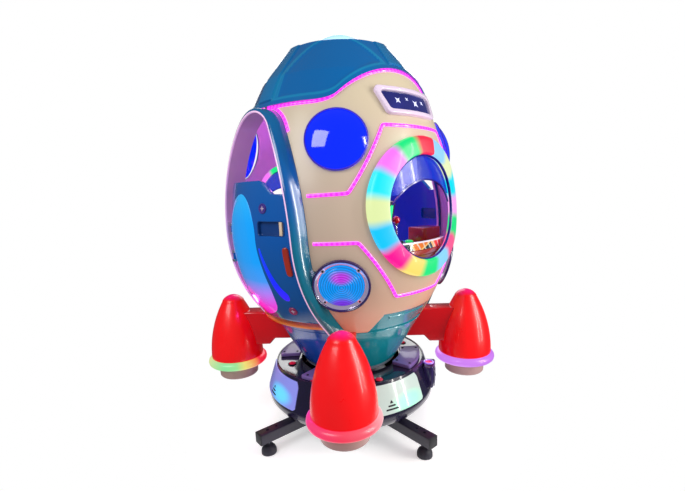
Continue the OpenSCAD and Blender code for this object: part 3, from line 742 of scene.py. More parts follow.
def set_world():
    """White behind the object, and a softer white for what lights it."""
    world = bpy.data.worlds.new("studio")
    bpy.context.scene.world = world
    world.use_nodes = True
    tree = world.node_tree
    tree.nodes.clear()
    seen, lit, mirrored_in = (
        make(tree, "ShaderNodeBackground", {"Color": colour, "Strength": strength}).outputs[0]
        for colour, strength in (((1, 1, 1, 1), 1.0), ((1, 1, 1, 1), 0.46), ((0.8, 0.85, 1, 1), 0.10)))
    rays = make(tree, "ShaderNodeLightPath").outputs
    mix = make(tree, "ShaderNodeMixShader", {0: rays["Is Glossy Ray"], 1: lit, 2: mirrored_in})
    mix = make(tree, "ShaderNodeMixShader", {0: rays["Is Camera Ray"], 1: mix.outputs[0], 2: seen})
    make(tree, "ShaderNodeOutputWorld", {"Surface": mix.outputs[0]})


def set_lights(away, right):
    middle = Vector((0, 0, 1.1))
    area_light("key", away * 2.6 - right * 2.4 + UP * 3.4, middle, 2.2, 2.2, 76)
    area_light("fill", away * 1.4 + right * 3.4 + UP * 2.2, middle, 1.6, 2.4, 38)
    for shift in (0.0, 0.75):
        area_light("streak", away * (0.9 + shift) + right * 2.6 + UP * 1.5, (0, 0, 0.8),
                   0.10, 2.8, 26, (1.0, 0.97, 0.92))
    area_light("behind", -away * 3.0 + UP * 2.6, middle, 2.5, 2.5, 45)
    point_light("cabin_glow", (0, 0.05, 1.70), 3.5, (1.0, 0.35, 0.95), 0.10)
    point_light("door_glow", (0, -0.12, 0.90), 1.6, (0.45, 0.35, 1.0), 0.10)
    for side in (-1, 1):
        point_light("lens_glow", (0.52 * side, 0.14, 0.80), 0.7, (1.0, 0.1, 0.8), 0.03)


def set_floor():
    def fading(tree, place):
        far = length(tree, place.outputs["Object"])
        return ramp(tree, far, [(0.62, (1, 1, 1)), (0.98, (0, 0, 0))], "EASE")
    shape = Shape().grid([[(x, y, 0) for y in (-1.1, 0, 1.1)] for x in (-1.1, 0, 1.1)])
    mesh = bpy.data.meshes.new("studio_floor")
    mesh.from_pydata(shape.points, [], shape.faces)
    floor = place_object("studio_floor", mesh)
    mesh.materials.append(surface("studio_floor", (0.93, 0.93, 0.93), rough=0.6, mottle=0.01,
                                  wear=0, bump=0.002, glow=(1, 1, 1), glow_strength=0.42,
                                  alpha=fading))


view = bpy.context.scene.view_settings
view.view_transform, view.look, view.exposure = "Standard", "None", 0.0
away, right = set_camera()
set_world()
set_lights(away, right)
set_floor()

# ---- the materials ----
GEL = {"rough": 0.17, "coat": 0.9, "mottle": 0.035, "patches": 3.0, "bump": 0.006, "wear": 0.12}
SATIN = {**GEL, "rough": 0.32, "coat": 0.30, "coat_rough": 0.28, "wear": 0.06}
# The cream is painted by height with light: the salmon tint near the bowl is painted red bounce light from
# the boosters, and the lighter top is painted top light.
cream = surface("cream_gelcoat", (0, 0, 0), **SATIN, paint=by_height(
    [(0.655, srgb(234, 172, 142)), (0.80, srgb(220, 182, 156)), (1.0, srgb(204, 178, 158)),
     (1.35, srgb(207, 186, 166)), (1.85, srgb(218, 203, 172))]))
# The lining's pink is painted magenta LED light on the pale inner face of the shell.
lining = surface("cabin_lining_magenta_lit", srgb(226, 168, 216), rough=0.35, coat=0.3, bump=0.03, wear=0.1)
bowl_paint = surface("bowl_gelcoat", (0, 0, 0), **GEL,
                     paint=front_or_side(srgb(16, 142, 158), srgb(24, 78, 176)))
# The cap's blue is lighter where its UV carries painted highlight: round the petals, on the ribs, at the
# lower edge and at the rim.
cap_paint = surface("cap_gelcoat", (0, 0, 0), **GEL, paint=along_uv(
    [(0.0, srgb(0, 102, 172)), (0.45, srgb(0, 110, 174)), (0.75, srgb(18, 136, 186)),
     (1.0, srgb(4, 118, 178))]))
# The window's blue glows though it holds no lamp: painted light that brightens it.
dome_glass = surface("dome_blue", srgb(0, 22, 190), rough=0.08, coat=1.0, mottle=0.05, wear=0,
                     bump=0.004, glow=srgb(0, 42, 255), glow_strength=0.72)
dome_flange = surface("dome_flange", srgb(60, 40, 190), rough=0.3, coat=0.4, wear=0.3)
beacon_glass = surface("beacon", srgb(230, 240, 255), rough=0.2, coat=0.6, wear=0,
                       glow=along_uv([(0.0, srgb(255, 150, 240)), (0.2, srgb(120, 220, 255)),
                                      (0.42, srgb(255, 160, 240)), (0.55, srgb(90, 200, 255)),
                                      (0.68, srgb(90, 210, 255)), (0.84, srgb(255, 150, 235)),
                                      (1.0, srgb(255, 150, 240))]), glow_strength=0.75)
strip_lamp = surface("led_strip", srgb(190, 60, 180), rough=0.25, coat=0.5, wear=0, mottle=0.02,
                     glow=across_and_dots(srgb(255, 140, 235), srgb(250, 0, 222),
                                          srgb(255, 70, 235), 0.022), glow_strength=1.35)
SEGMENTS = (srgb(255, 30, 70), srgb(0, 235, 130), srgb(250, 120, 250), srgb(0, 235, 255),
            srgb(225, 240, 170), srgb(0, 200, 255), srgb(255, 0, 150), srgb(250, 225, 110),
            srgb(0, 235, 130), srgb(140, 215, 255), srgb(255, 90, 150), srgb(0, 230, 130),
            srgb(250, 170, 245), srgb(0, 230, 250), srgb(235, 245, 190), srgb(150, 215, 255))
ring_stops = [(min(1.0, (k + part) / 16), colour) for k, colour in enumerate(SEGMENTS)
              for part in (0.16, 0.84)]
ring_lamp = surface("porthole_lamp", srgb(24, 24, 24), rough=0.4, coat=0.15, wear=0, mottle=0.04,
                    patches=22.0, glow=along_uv(ring_stops), glow_strength=1.05)
ring_bead = surface("porthole_bead", srgb(24, 20, 130), rough=0.2, coat=0.8)
# The tinted visor's faint blue glow is painted light.
visor_tint = surface("visor_tint", srgb(10, 34, 150), rough=0.08, coat=0.5, wear=0, mottle=0.3,
                     patches=7.0, stretch=(3, 3, 1), alpha=0.80, glow=srgb(20, 60, 225),
                     glow_strength=0.42)
surround_paint = surface("surround_gelcoat", (0, 0, 0), **GEL, paint=by_height(
    [(0.665, srgb(14, 108, 122)), (1.10, srgb(8, 112, 146)), (1.30, srgb(6, 88, 168)),
     (1.50, srgb(8, 92, 158)), (1.70, srgb(10, 104, 156))]))
# The pale rim's faint pink glow is painted light from the lit strips.
surround_trim = surface("surround_trim", srgb(246, 206, 240), rough=0.3, coat=0.4, wear=0.1,
                        glow=srgb(255, 190, 250), glow_strength=0.18)
# The inner face's pink is painted magenta LED light on a pale face.
surround_inner = surface("surround_inner", srgb(222, 168, 214), rough=0.35, coat=0.3, wear=0.1)
orange = surface("sill_orange", srgb(228, 120, 22), rough=0.3, coat=0.5, wear=0.3, mottle=0.1)
# The door's blue is painted by height with shade: darker towards the bottom, lighter towards the top.
door_paint = surface("door_gelcoat", (0, 0, 0), **GEL, paint=by_height(
    [(0.724, srgb(0, 76, 140)), (0.90, srgb(0, 84, 160)), (1.15, srgb(0, 88, 176)),
     (1.385, srgb(16, 96, 178))]))
# The inner face's faint blue glow is painted light.
door_inner = surface("door_lining", srgb(16, 44, 172), rough=0.3, coat=0.5, wear=0.1,
                     glow=srgb(10, 30, 170), glow_strength=0.16)
leaf_lens = surface("door_lens", srgb(16, 60, 120), rough=0.18, coat=0.9, wear=0, mottle=0.08,
                    patches=9.0, stretch=(1, 3, 1), glow_strength=0.86, glow=by_height(
                        [(0.74, srgb(255, 0, 205)), (0.80, srgb(255, 40, 225)),
                         (0.87, srgb(190, 130, 255)), (0.93, srgb(70, 160, 255)),
                         (1.02, srgb(0, 165, 255)), (1.20, srgb(0, 170, 255)),
                         (1.33, srgb(40, 190, 255))]))
drop_lens = surface("door_drop", srgb(20, 40, 220), rough=0.15, coat=0.9, wear=0, glow_strength=0.6,
                    glow=by_height([(0.85, srgb(70, 0, 255)), (0.92, srgb(10, 20, 250)),
                                    (1.14, srgb(0, 90, 240))]))
tub_paint = surface("pull_tub", srgb(0, 60, 130), rough=0.35, coat=0.3)
latch_sand = surface("latch_sand", srgb(232, 206, 176), rough=0.35, coat=0.3, wear=0.2)
handle_red = surface("handle_red", srgb(168, 44, 24), rough=0.3, coat=0.5, wear=0.3)
badge_wine = surface("badge", srgb(150, 30, 90), rough=0.35, coat=0.4, wear=0.2)
badge_violet = surface("badge_violet", srgb(66, 46, 138), rough=0.35, coat=0.4, wear=0.2)
badge_star = surface("badge_star", srgb(210, 190, 215), rough=0.3, metal=0.4)
lamp_rim = surface("lamp_rim", srgb(46, 26, 84), rough=0.25, coat=0.7, wear=0.3)
# The chrome bowl's pale glow is a painted reflection of the lamp's light.
lamp_chrome = surface("lamp_chrome", srgb(222, 214, 240), rough=0.12, metal=0.85, mottle=0.12,
                      patches=14.0, wear=0, glow=srgb(225, 205, 245), glow_strength=0.22)
lens_rings = surface("lamp_lens", srgb(0, 40, 110), rough=0.2, coat=0.35, wear=0, bump=0.05,
                     relief=rings_relief(0.0105), glow_strength=0.95,
                     glow=ringed(0.0105, srgb(0, 158, 255), [(0.0, -0.094, 0.024, srgb(130, 40, 240)),
                                                         (0.0, 0.045, 0.020, srgb(215, 40, 235))],
                                     (0.62, 1.0)))
bezel_lilac = surface("sign_bezel", srgb(232, 212, 236), rough=0.3, coat=0.6, wear=0.15)
screen_navy = surface("sign_screen", srgb(34, 36, 100), rough=0.08, coat=1.0, wear=0, mottle=0.3,
                      patches=12.0, glow=srgb(38, 40, 120), glow_strength=0.35)
sign_mark = surface("sign_mark", srgb(220, 220, 240), rough=0.3, glow=srgb(190, 200, 255),
                    glow_strength=0.5)
# The booster's faint red glow is painted light, as it is no lamp; the magenta at its tip is a painted
# reflection of the LEDs.
booster_red = surface("booster_gelcoat", (0, 0, 0), rough=0.30, coat=0.35, mottle=0.02, bump=0.003,
                      wear=0.04, glow=srgb(255, 0, 0), glow_strength=0.22, paint=by_height(
                          [(0.396, srgb(240, 0, 8)), (0.735, srgb(240, 0, 10)),
                           (0.761, srgb(250, 0, 130))]))
# The fin's faint red glow is painted light.
fin_red = surface("fin_gelcoat", srgb(200, 0, 14), rough=0.2, coat=0.8, mottle=0.06, wear=0.15,
                  glow=srgb(200, 0, 20), glow_strength=0.12)
# The cap's grey is darker on its underside and lighter up its wall: painted shade.
cap_grey = surface("booster_cap", (0, 0, 0), rough=0.4, coat=0.2, wear=0.3, paint=by_height(
    [(0.276, srgb(176, 142, 140)), (0.348, srgb(196, 160, 150))]))
deck_dark = surface("deck_gloss", srgb(24, 20, 46), rough=0.12, coat=1.0, mottle=0.2, wear=0.2)
drum_dark = surface("drum_gloss", srgb(26, 20, 50), rough=0.22, coat=0.8, mottle=0.2, wear=0.3)
cover_purple = surface("cover_paint", srgb(122, 100, 168), rough=0.32, coat=0.4, wear=0.3)
bolt_black = surface("black_bolt", srgb(26, 22, 40), rough=0.4, metal=0.5, wear=0.5)
lamp_red = surface("deck_lamp", srgb(190, 20, 60), rough=0.2, coat=0.8, wear=0,
                   glow=srgb(200, 10, 50), glow_strength=0.35)
vent_black = surface("vent_slot", srgb(20, 20, 34), rough=0.6, wear=0)
steel = surface("machined_steel", (0.55, 0.56, 0.60), rough=0.3, metal=0.9, stretch=(1, 1, 14),
                mottle=0.15, wear=0.4)
frame_black = surface("frame_coat", srgb(30, 27, 46), rough=0.34, coat=0.25, mottle=0.25,
                      grain=500.0, bump=0.04, wear=0.5)
foot_rubber = surface("foot_rubber", srgb(34, 32, 46), rough=0.55, mottle=0.3, wear=0.3, bump=0.05)
coin_steel = surface("coin_door_steel", srgb(150, 146, 172), rough=0.3, metal=0.7,
                     stretch=(1, 1, 16), wear=0.3)
zinc = surface("zinc_plate", (0.5, 0.52, 0.56), rough=0.35, metal=0.9, mottle=0.2, wear=0.5)
pod_plum = surface("pod_gloss", srgb(44, 30, 84), rough=0.18, coat=0.9, mottle=0.2, wear=0.3)
pod_ring = surface("pod_ring", srgb(170, 120, 220), rough=0.2, coat=0.8, wear=0.2,
                   glow=srgb(120, 60, 220), glow_strength=0.4)
button_pink = surface("start_button", srgb(240, 60, 120), rough=0.2, coat=0.8, wear=0,
                      glow=srgb(255, 40, 110), glow_strength=0.6)
button_green = surface("dash_button", srgb(40, 220, 110), rough=0.2, coat=0.8, wear=0,
                       glow=srgb(30, 230, 110), glow_strength=0.6)
motor_paint = surface("motor_casting", srgb(66, 78, 96), rough=0.5, mottle=0.3, bump=0.12, wear=0.5)
hub_paint = surface("hub_casting", srgb(80, 88, 100), rough=0.5, mottle=0.3, bump=0.12, wear=0.4)
tube_grey = surface("cabin_tube", srgb(110, 116, 128), rough=0.45, coat=0.2, mottle=0.2, wear=0.4)
brass = surface("slip_ring_brass", (0.66, 0.46, 0.18), rough=0.3, metal=0.95, stretch=(1, 1, 20))
alloy = surface("supply_case", (0.6, 0.61, 0.64), rough=0.4, metal=0.85, mottle=0.15, wear=0.4)
black_plastic = surface("black_plastic", srgb(26, 26, 32), rough=0.5, mottle=0.2, wear=0.4)
dark_steel = surface("dark_steel", (0.16, 0.165, 0.19), rough=0.35, metal=0.8, wear=0.5)
floor_mat = surface("cabin_mat", srgb(150, 104, 120), rough=0.6, relief=dotted_floor, bump=0.03)
# The shelf's faint red glow is painted light.
dash_red = surface("dash_gelcoat", srgb(158, 46, 36), rough=0.25, coat=0.7, mottle=0.12, wear=0.2,
                   glow=srgb(150, 36, 30), glow_strength=0.14)
dash_trim = surface("dash_trim", srgb(60, 170, 220), rough=0.25, coat=0.7, glow=srgb(40, 150, 210),
                    glow_strength=0.3)
ledge_white = surface("ledge_white", srgb(236, 228, 236), rough=0.3, coat=0.5, wear=0.1)
apron_print = surface("apron_print", (0, 0, 0), rough=0.2, coat=0.8, wear=0, paint=apron_pattern)
monitor_case = surface("monitor_case", srgb(26, 26, 52), rough=0.4, mottle=0.2, wear=0.3)
monitor_face = surface("monitor_face", srgb(20, 24, 90), rough=0.08, coat=1.0, wear=0,
                       glow=star_screen, glow_strength=0.8)
edge_green = surface("monitor_edge", srgb(20, 210, 110), rough=0.25, coat=0.6, wear=0,
                     glow=srgb(0, 240, 130), glow_strength=0.85)
bench_wine = surface("bench_gelcoat", srgb(142, 46, 62), rough=0.28, coat=0.6, wear=0.2)
seat_vinyl = surface("seat_vinyl", srgb(46, 78, 184), rough=0.48, mottle=0.14, patches=12.0,
                     relief=leather_relief, bump=0.05, wear=0.2, sheen=0.2)
seat_piping = surface("seat_piping", srgb(214, 206, 226), rough=0.45, mottle=0.1,
                      relief=leather_relief, bump=0.04)
lever_chrome = surface("lever_chrome", (0.78, 0.79, 0.84), rough=0.1, metal=1.0, wear=0)
knob_red = surface("knob_red", srgb(206, 24, 34), rough=0.15, coat=1.0, mottle=0.05)


# ---- outlines shared by the cabin's pieces ----
ARCH_TOP_C = ARCH_TOP - ARCH_R
SIDE_R = (((ARCH_TOP_C - ARCH_Z) ** 2 + DOOR_HALF ** 2 - ARCH_R ** 2)
          / (2 * (DOOR_HALF - ARCH_R)))
SIDE_C = SIDE_R - DOOR_HALF
SIDE_A = math.atan2(ARCH_TOP_C - ARCH_Z, SIDE_C)
ARCH_FOOT = SEAM_Z + 0.010
PATCH_TOP = 0.752


def arch_gap(y, z):
    """Distance from a doorway's outline, negative inside it."""
    y = abs(y)
    if z <= ARCH_Z:
        gap = y - DOOR_HALF
    elif math.atan2(z - ARCH_Z, y + SIDE_C) < SIDE_A:
        gap = math.hypot(y + SIDE_C, z - ARCH_Z) - SIDE_R
    else:
        gap = math.hypot(y, z - ARCH_TOP_C) - ARCH_R
    return max(gap, ARCH_FOOT - z)


def arch_line(grow, count=26):
    """Points (y, z) along a doorway's outline, from its front foot over the top to its rear."""
    half = [(-DOOR_HALF - grow, z) for z in steps(ARCH_FOOT, ARCH_Z - 0.02, 0.03)]
    for i in range(count + 1):
        a = SIDE_A * i / count
        half.append((SIDE_C - (SIDE_R + grow) * math.cos(a), ARCH_Z + (SIDE_R + grow) * math.sin(a)))
    for i in range(1, count + 1):
        a = SIDE_A + (math.pi / 2 - SIDE_A) * i / count
        half.append((-(ARCH_R + grow) * math.cos(a), ARCH_TOP_C + (ARCH_R + grow) * math.sin(a)))
    return half + [(-y, z) for y, z in reversed(half[:-1])]


def patch_half(z):
    """Half width of the coloured patch at the foot of the front shell."""
    return 0.170 + max(0.0, PATCH_TOP - z) / 0.097 * 0.035


def off_axis(point, turn, z):
    """Distance of a point from the skin's normal at a turn and height."""
    centre, normal = skin(turn, z)
    off = point - centre
    return (off - normal * off.dot(normal)).length


def cap_edge(x):
    """Height of the nose cap's lower edge: low at the sides, arched at the front and rear."""
    rise, half, fillet = CAP_PEAK - CAP_EDGE, 0.348, 0.120
    big_r = (half * half + rise * rise) / (2 * rise)
    big_z = CAP_PEAK - big_r
    low = CAP_EDGE + fillet
    fillet_x = math.sqrt((big_r + fillet) ** 2 - (low - big_z) ** 2)
    x = abs(x)
    if x >= fillet_x:
        return CAP_EDGE
    if x > fillet_x * big_r / (big_r + fillet):
        return low - math.sqrt(fillet ** 2 - (x - fillet_x) ** 2)
    return big_z + math.sqrt(big_r ** 2 - x * x)


# ---- cabin shells, bowl and nose ----
def shell_keep(turn, z):
    point = skin(turn, z)[0]
    gaps = [SEAM_Z - z, z - SHELL_TOP, 0.0005 - arch_gap(point.y, z),
            HOLE_R + 0.022 - math.hypot(point.x, z - PORT_Z),
            min(patch_half(z) - abs(point.x), PATCH_TOP - z),
            min(DOOR_HALF - SURROUND_T - abs(point.y), SILL_FOOT - z)]
    for corner in CORNER_TURNS[2:]:
        corner = corner if corner < math.pi else corner - 2 * math.pi
        gaps.append(DOME_R - 0.003 - off_axis(point, corner, DOME_Z))
        gaps.append(LAMP_R - 0.010 - off_axis(point, corner, LAMP_Z))
    return max(gaps)


def make_shells():
    shape = panel(steps(-math.pi / 2, math.pi / 2, 0.0215), steps(SEAM_Z - 0.01, SHELL_TOP + 0.01, 0.0125),
                  skin, shell_keep, SHELL, 0.002, back=1)
    for end, part in (("front", shape), ("rear", mirrored(shape, 1))):
        piece(f"{end}_shell_skin", part, [cream, lining], "capsule", "shell_cream", f"{end}_shell")


def make_bowl():
    top = SEAM_Z - 0.0004
    profile = [(egg_r(z), z) for z in steps(BOWL_Z + 0.004, top - 0.002, 0.02)]
    profile += [(egg_r(top) - 0.002, top), (egg_r(top) - 0.009, top), (egg_r(0.436) - 0.009, 0.436),
                (0.263, 0.424), (0.260, 0.401), (0.240, 0.401), (0.240, 0.4145),
                (egg_r(BOWL_Z) - 0.004, 0.4145), (egg_r(BOWL_Z), BOWL_Z)]
    shape = revolve(profile, 144)
    side = panel(steps(-0.290, 0.290, 0.02), steps(top, SILL_FOOT, 0.008), side_skin,
                 lambda y, z: max(abs(y) - 0.2796, top + 0.0002 - z, z - SILL_FOOT + 0.010),
                 SHELL, 0.001)

    def recessed(x, z):
        point, normal = front_skin(x, z)
        return point - normal * 0.006, normal
    front = panel(steps(-0.230, 0.230, 0.012), steps(0.625, 0.760, 0.008), recessed,
                  lambda x, z: max(abs(x) - patch_half(z) + 0.0005, z - PATCH_TOP + 0.0005, 0.630 - z),
                  0.006, 0.001)
    for part in (side, front, mirrored(side, 0), mirrored(front, 1)):
        shape.add(part)
    piece("bowl_skin", shape, bowl_paint, "capsule", "bowl_teal", "lower_bowl")
    band = swept([(front_skin(x, PATCH_TOP - 0.03)[0], front_skin(x, 0.72)[1])
                  for x in steps(-0.13, 0.13, 0.02)],
                 [(-0.008, -0.006), (-0.006, -0.0025), (0.006, -0.0025), (0.008, -0.006)])
    piece("bowl_band", band, bowl_paint, "capsule", "bowl_teal")


def cap_radius(z):
    bend = egg_r(CAP_BEND, CAP_OUT)
    if z <= CAP_BEND:
        return egg_r(z, CAP_OUT)
    return bend + (RIM_R - bend) * (z - CAP_BEND) / (RIM_Z - CAP_BEND)


def cap_relief(degrees, z, edge):
    """Raised ribs and sunken petals of the nose cap: height, and the painted highlight along the petal
    edges and on the ribs.
    """
    from_rib = abs((degrees + 45) % 90 - 45)
    rib = (1 - smooth_step(6.4, 7.4, from_rib)) * smooth_step(edge + 0.020, edge + 0.028, z)
    middle = abs(degrees % 90 - 45)
    wide = 34.0 * math.sqrt(max(0.0, 1 - (max(0.0, z - 1.80) / 0.212) ** 2)) if z < 2.012 else 0
    inside = min((wide - middle) / 2.2, (z - edge - 0.034) / 0.007)
    petal = smooth_step(-0.5, 0.5, inside)
    border_highlight = smooth_step(-4.0, -0.6, inside) * (1 - petal)
    return 0.008 * rib - 0.0045 * petal, 0.95 * max(border_highlight, 0.55 * rib) if not petal else 0.0


def make_cap():
    turns = sorted({q + d for q in range(0, 360, 90)
                    for d in [-7.4, -6.4, -5, -3, -1, 1, 3, 5, 6.4, 7.4]
                    + [8.6 + 1.3 * k for k in range(57)] if d < 82.6})
    rows, shades = [], []
    for degrees in turns:
        out = Vector((math.sin(math.radians(degrees)), -math.cos(math.radians(degrees)), 0))
        low = CAP_EDGE
        for _ in range(8):
            low = cap_edge(cap_radius(low) * out.x)
        # Each row's tone is the painted highlight, carried to the cap's paint in the UV.
        row, tone = [out * (cap_radius(low) - 0.0075) + UP * low], [0.3]
        levels = [low + t for t in (0.0, 0.003, 0.010, 0.020, 0.028, 0.034, 0.041, 0.048)]
        rest = (RIM_Z - 0.004 - levels[-1]) / 38
        levels += [levels[-1] + rest * k for k in range(1, 39)]
        for z in levels:
            rise, edge_highlight = cap_relief(degrees, z, low)
            row.append(out * (cap_radius(z) + rise) + UP * z)
            tone.append(edge_highlight)
        fade = row[-1].xy.length
        for inset, z in ((0.003, RIM_Z), (0.012, RIM_Z), (fade - BEACON_R - 0.004, RIM_Z),
                         (fade - BEACON_R - 0.004, RIM_Z - SHELL)):
            row.append(out * (fade - inset) + UP * z)
            tone.append(0.4)
        for z in (RIM_Z - SHELL, 1.95, CAP_BEND, 1.78):
            row.append(out * (cap_radius(max(z, low)) - SHELL) + UP * max(z, low))
            tone.append(0.0)
        rows.append(row)
        shades.append(tone)
    shape = Shape().grid(rows, around=True, along=True)
    tones = [t for tone in shades for t in tone]
    shape.uvs = [[(tones[k], 0.0) for k in loop] for loop in shape.faces]
    piece("nose_cap_skin", shape, cap_paint, "capsule", "cap_blue", "nose_cap", sharp=26)


def make_beacon():
    rise = TOP_Z - RIM_Z - 0.006
    big_r = (BEACON_R ** 2 + rise ** 2) / (2 * rise)
    span = math.degrees(math.asin(BEACON_R / big_r))
    profile = [(big_r * math.sin(math.radians(span * k / 16)),
                TOP_Z - big_r + big_r * math.cos(math.radians(span * k / 16)))
               for k in range(17)]
    profile += [(BEACON_R + 0.006, RIM_Z + 0.006), (BEACON_R + 0.008, RIM_Z + 0.003),
                (BEACON_R + 0.008, RIM_Z + 0.0005), (BEACON_R - 0.006, RIM_Z + 0.0005),
                (0.0, RIM_Z + 0.004)]
    piece("nose_light_dome", revolve(profile, 120), beacon_glass, "capsule", "dome_pale", "nose_light")


# ---- lit strips ----
STRIP = [(-0.0078, 0.0), (-0.0072, 0.0030), (-0.0042, 0.0052), (0.0, 0.0058), (0.0042, 0.0052),
         (0.0072, 0.0030), (0.0078, 0.0)]
UPPER_LINE = [(-0.492, 1.312), (-0.368, 1.318), (-0.190, 1.598), (0.190, 1.598), (0.368, 1.318),
              (0.492, 1.312)]
LOWER_LINE = [(-0.500, 1.112), (-0.345, 1.112), (-0.151, 0.847), (0.151, 0.847), (0.345, 1.112),
              (0.500, 1.112)]


def on_front(line):
    """Path on the front skin through a few (x, z) corners, its corners a little rounded."""
    path = []
    line = rounded(line, 0.018, 4, closed=False)
    for (ax, az), (bx, bz) in zip(line, line[1:]):
        for t in steps(0, 1, 0.012 / math.hypot(bx - ax, bz - az))[:-1]:
            path.append((ax + (bx - ax) * t, az + (bz - az) * t))
    path.append(line[-1])
    return [front_skin(x, z) for x, z in path if arch_gap(front_skin(x, z)[0].y, z) > 0.003]


def make_strips():
    edge = []
    for i in range(141):
        turn = math.radians(-88 + 176 * i / 140)
        z = CAP_EDGE
        for _ in range(8):
            z = cap_edge(egg_r(z) * math.sin(turn)) - 0.0078
        if arch_gap(skin(turn, z)[0].y, z) > 0.004:
            edge.append(skin(turn, z))
    arches = [side_skin(y, z) for y, z in arch_line(0.009) if z > 1.575 and y < -0.012]
    groups = {"cap_edge_strip": edge, "upper_strip": on_front(UPPER_LINE),
              "lower_strip": on_front(LOWER_LINE), "arch_strip": arches}
    for name, path in groups.items():
        shape = swept(path, STRIP)
        quarters = [("front", shape), ("rear", mirrored(shape, 1))]
        if name == "arch_strip":
            quarters += [(f"{end}_left", mirrored(part, 0)) for end, part in quarters]
        for end, part in quarters:
            piece(f"{name}_{end}", part, strip_lamp, "capsule", "trim_pink",
                  "trim_lights" if name == "upper_strip" and end == "front" else ())


# ---- portholes, windows, headlights and sign ----
def make_portholes():
    section = [(RING_R, 0.001), (RING_R, 0.016), (RING_R - 0.003, 0.022), (RING_R - 0.010, 0.0265),
               (RING_R - 0.025, 0.0278), (HOLE_R + 0.016, 0.0278), (HOLE_R + 0.006, 0.0255),
               (HOLE_R + 0.001, 0.018), (HOLE_R, 0.008), (HOLE_R, -0.010), (HOLE_R + 0.018, -0.010)]
    count = 160
    rows = []
    for i in range(count):
        a = math.radians(90 - 11.25 + 360 * i / count)
        rows.append([front_at(r * math.cos(a), PORT_Z + r * math.sin(a), out) for r, out in section])
    ring = Shape().grid(rows, around=True, along=True, u=[i / count for i in range(count + 1)])
    rim = []
    for i in range(96):
        a = 2 * math.pi * i / 96
        x, z = (HOLE_R - 0.0045) * math.cos(a), PORT_Z + (HOLE_R - 0.0045) * math.sin(a)
        rim.append((front_at(x, z, 0.006), front_skin(x, z)[1]))
    bead = swept(rim, [(0.004 * math.cos(t * math.pi / 4), 0.007 * math.sin(t * math.pi / 4))
                       for t in range(8)], closed=True)
    brim_r, brim_z = 0.255, PORT_Z - 0.130
    visor = panel(steps(-0.24, 0.24, 0.010), steps(PORT_Z + 0.06, PORT_Z + 0.245, 0.008),
                  lambda x, z: (front_at(x, z, -0.004), front_skin(x, z)[1]),
                  lambda x, z: max(math.hypot(x, z - PORT_Z) - 0.2285,
                                   brim_r - math.hypot(x, z - brim_z)), 0.004, 0.001)
    line = [(brim_r * math.sin(math.radians(t)), brim_z + brim_r * math.cos(math.radians(t)))
            for t in range(-54, 55, 3)]
    edge = swept([(front_at(x, z, -0.003), front_skin(x, z)[1]) for x, z in line],
                 [(-0.003, -0.004), (-0.003, 0.003), (0.003, 0.003), (0.003, -0.004)])
    for end, turn in (("front", same), ("rear", lambda s: mirrored(s, 1))):
        piece(f"{end}_ring_lamp", turn(ring), ring_lamp, "capsule", "ring_lamp", f"{end}_ring_light")
        piece(f"{end}_ring_bead", turn(bead), ring_bead, "capsule", "visor_blue")
        piece(f"{end}_visor", turn(visor), visor_tint, "capsule", "visor_blue",
              "porthole_visors" if end == "front" else ())
        piece(f"{end}_visor_edge", turn(edge), ring_bead, "capsule", "visor_blue")


def make_windows():
    rim, rise = DOME_R - 0.005, 0.042
    big_r = (rim * rim + rise * rise) / (2 * rise)
    span = math.asin(rim / big_r)
    cap = [(big_r * math.sin(span * k / 14), rise - big_r + big_r * math.cos(span * k / 14))
           for k in range(15)]
    inner = [(r * 0.97, z - 0.004) for r, z in reversed(cap)]
    flange = [(rim, 0.0005), (DOME_R - 0.0004, 0.0005), (DOME_R - 0.0004, 0.003),
              (rim + 0.002, 0.0048), (rim - 0.002, 0.0040)]
    glass = revolve(cap + [(rim - 0.004, -0.010), (rim - 0.008, -0.010)] + inner[1:])
    four([skin_matrix(turn, DOME_Z) for turn in CORNER_TURNS],
         [("dome_window", glass, dome_glass, "dome_blue", "dome_windows"),
          ("dome_flange", revolve(flange), dome_flange, "dome_blue", ())])


def make_headlights():
    rim = [(LAMP_R - 0.011, 0.0), (LAMP_R, 0.0005), (LAMP_R, 0.004), (LAMP_R - 0.002, 0.0115),
           (LAMP_R - 0.006, 0.0138), (LAMP_R - 0.010, 0.011), (LAMP_R - 0.012, 0.006)]
    bowl = [(LAMP_R - 0.0115, 0.006), (LAMP_R - 0.016, 0.002), (0.106, -0.003), (0.102, -0.004),
            (0.102, -0.020), (0.060, -0.040), (0.004, -0.044), (0.004, -0.048), (0.062, -0.044),
            (0.106, -0.024), (LAMP_R - 0.0115, -0.022)]
    lens_r = 0.294
    lens = [(0.103 * k / 24, math.sqrt(lens_r ** 2 - (0.103 * k / 24) ** 2) - 0.280
             + 0.0011 * math.cos(math.pi * k)) for k in range(25)]
    tab = slab(rectangle(-0.010, -0.008, 0.010, 0.008, 0.003), -0.003, 0.0045, 0.0012)
    screw = revolve([(0.0008, 0.0075), (0.003, 0.0072), (0.0048, 0.0055), (0.005, 0.003),
                     (0.0008, 0.003)], 16)
    cup, screws = revolve(bowl), Shape()
    for angle in CORNERS:
        spot = Matrix.Translation(turn_of(angle) * (LAMP_R - 0.0205))
        cup.add(tab, spot @ turned(angle))
        screws.add(screw, spot)
    glass = revolve(lens + [(r, z - 0.004) for r, z in reversed(lens)])
    glass.uvs = [[(glass.points[k].x, glass.points[k].y) for k in loop] for loop in glass.faces]
    four([skin_matrix(turn, LAMP_Z) for turn in CORNER_TURNS],
         [("lamp_rim", revolve(rim), lamp_rim, "lamp_chrome", "headlight_bezels"),
          ("lamp_bowl", cup, lamp_chrome, "lamp_chrome", ()),
          ("lamp_screws", screws, bolt_black, "lamp_chrome", ()),
          ("lamp_lens", glass, lens_rings, "lens_cyan", "headlight_lenses", 60)])


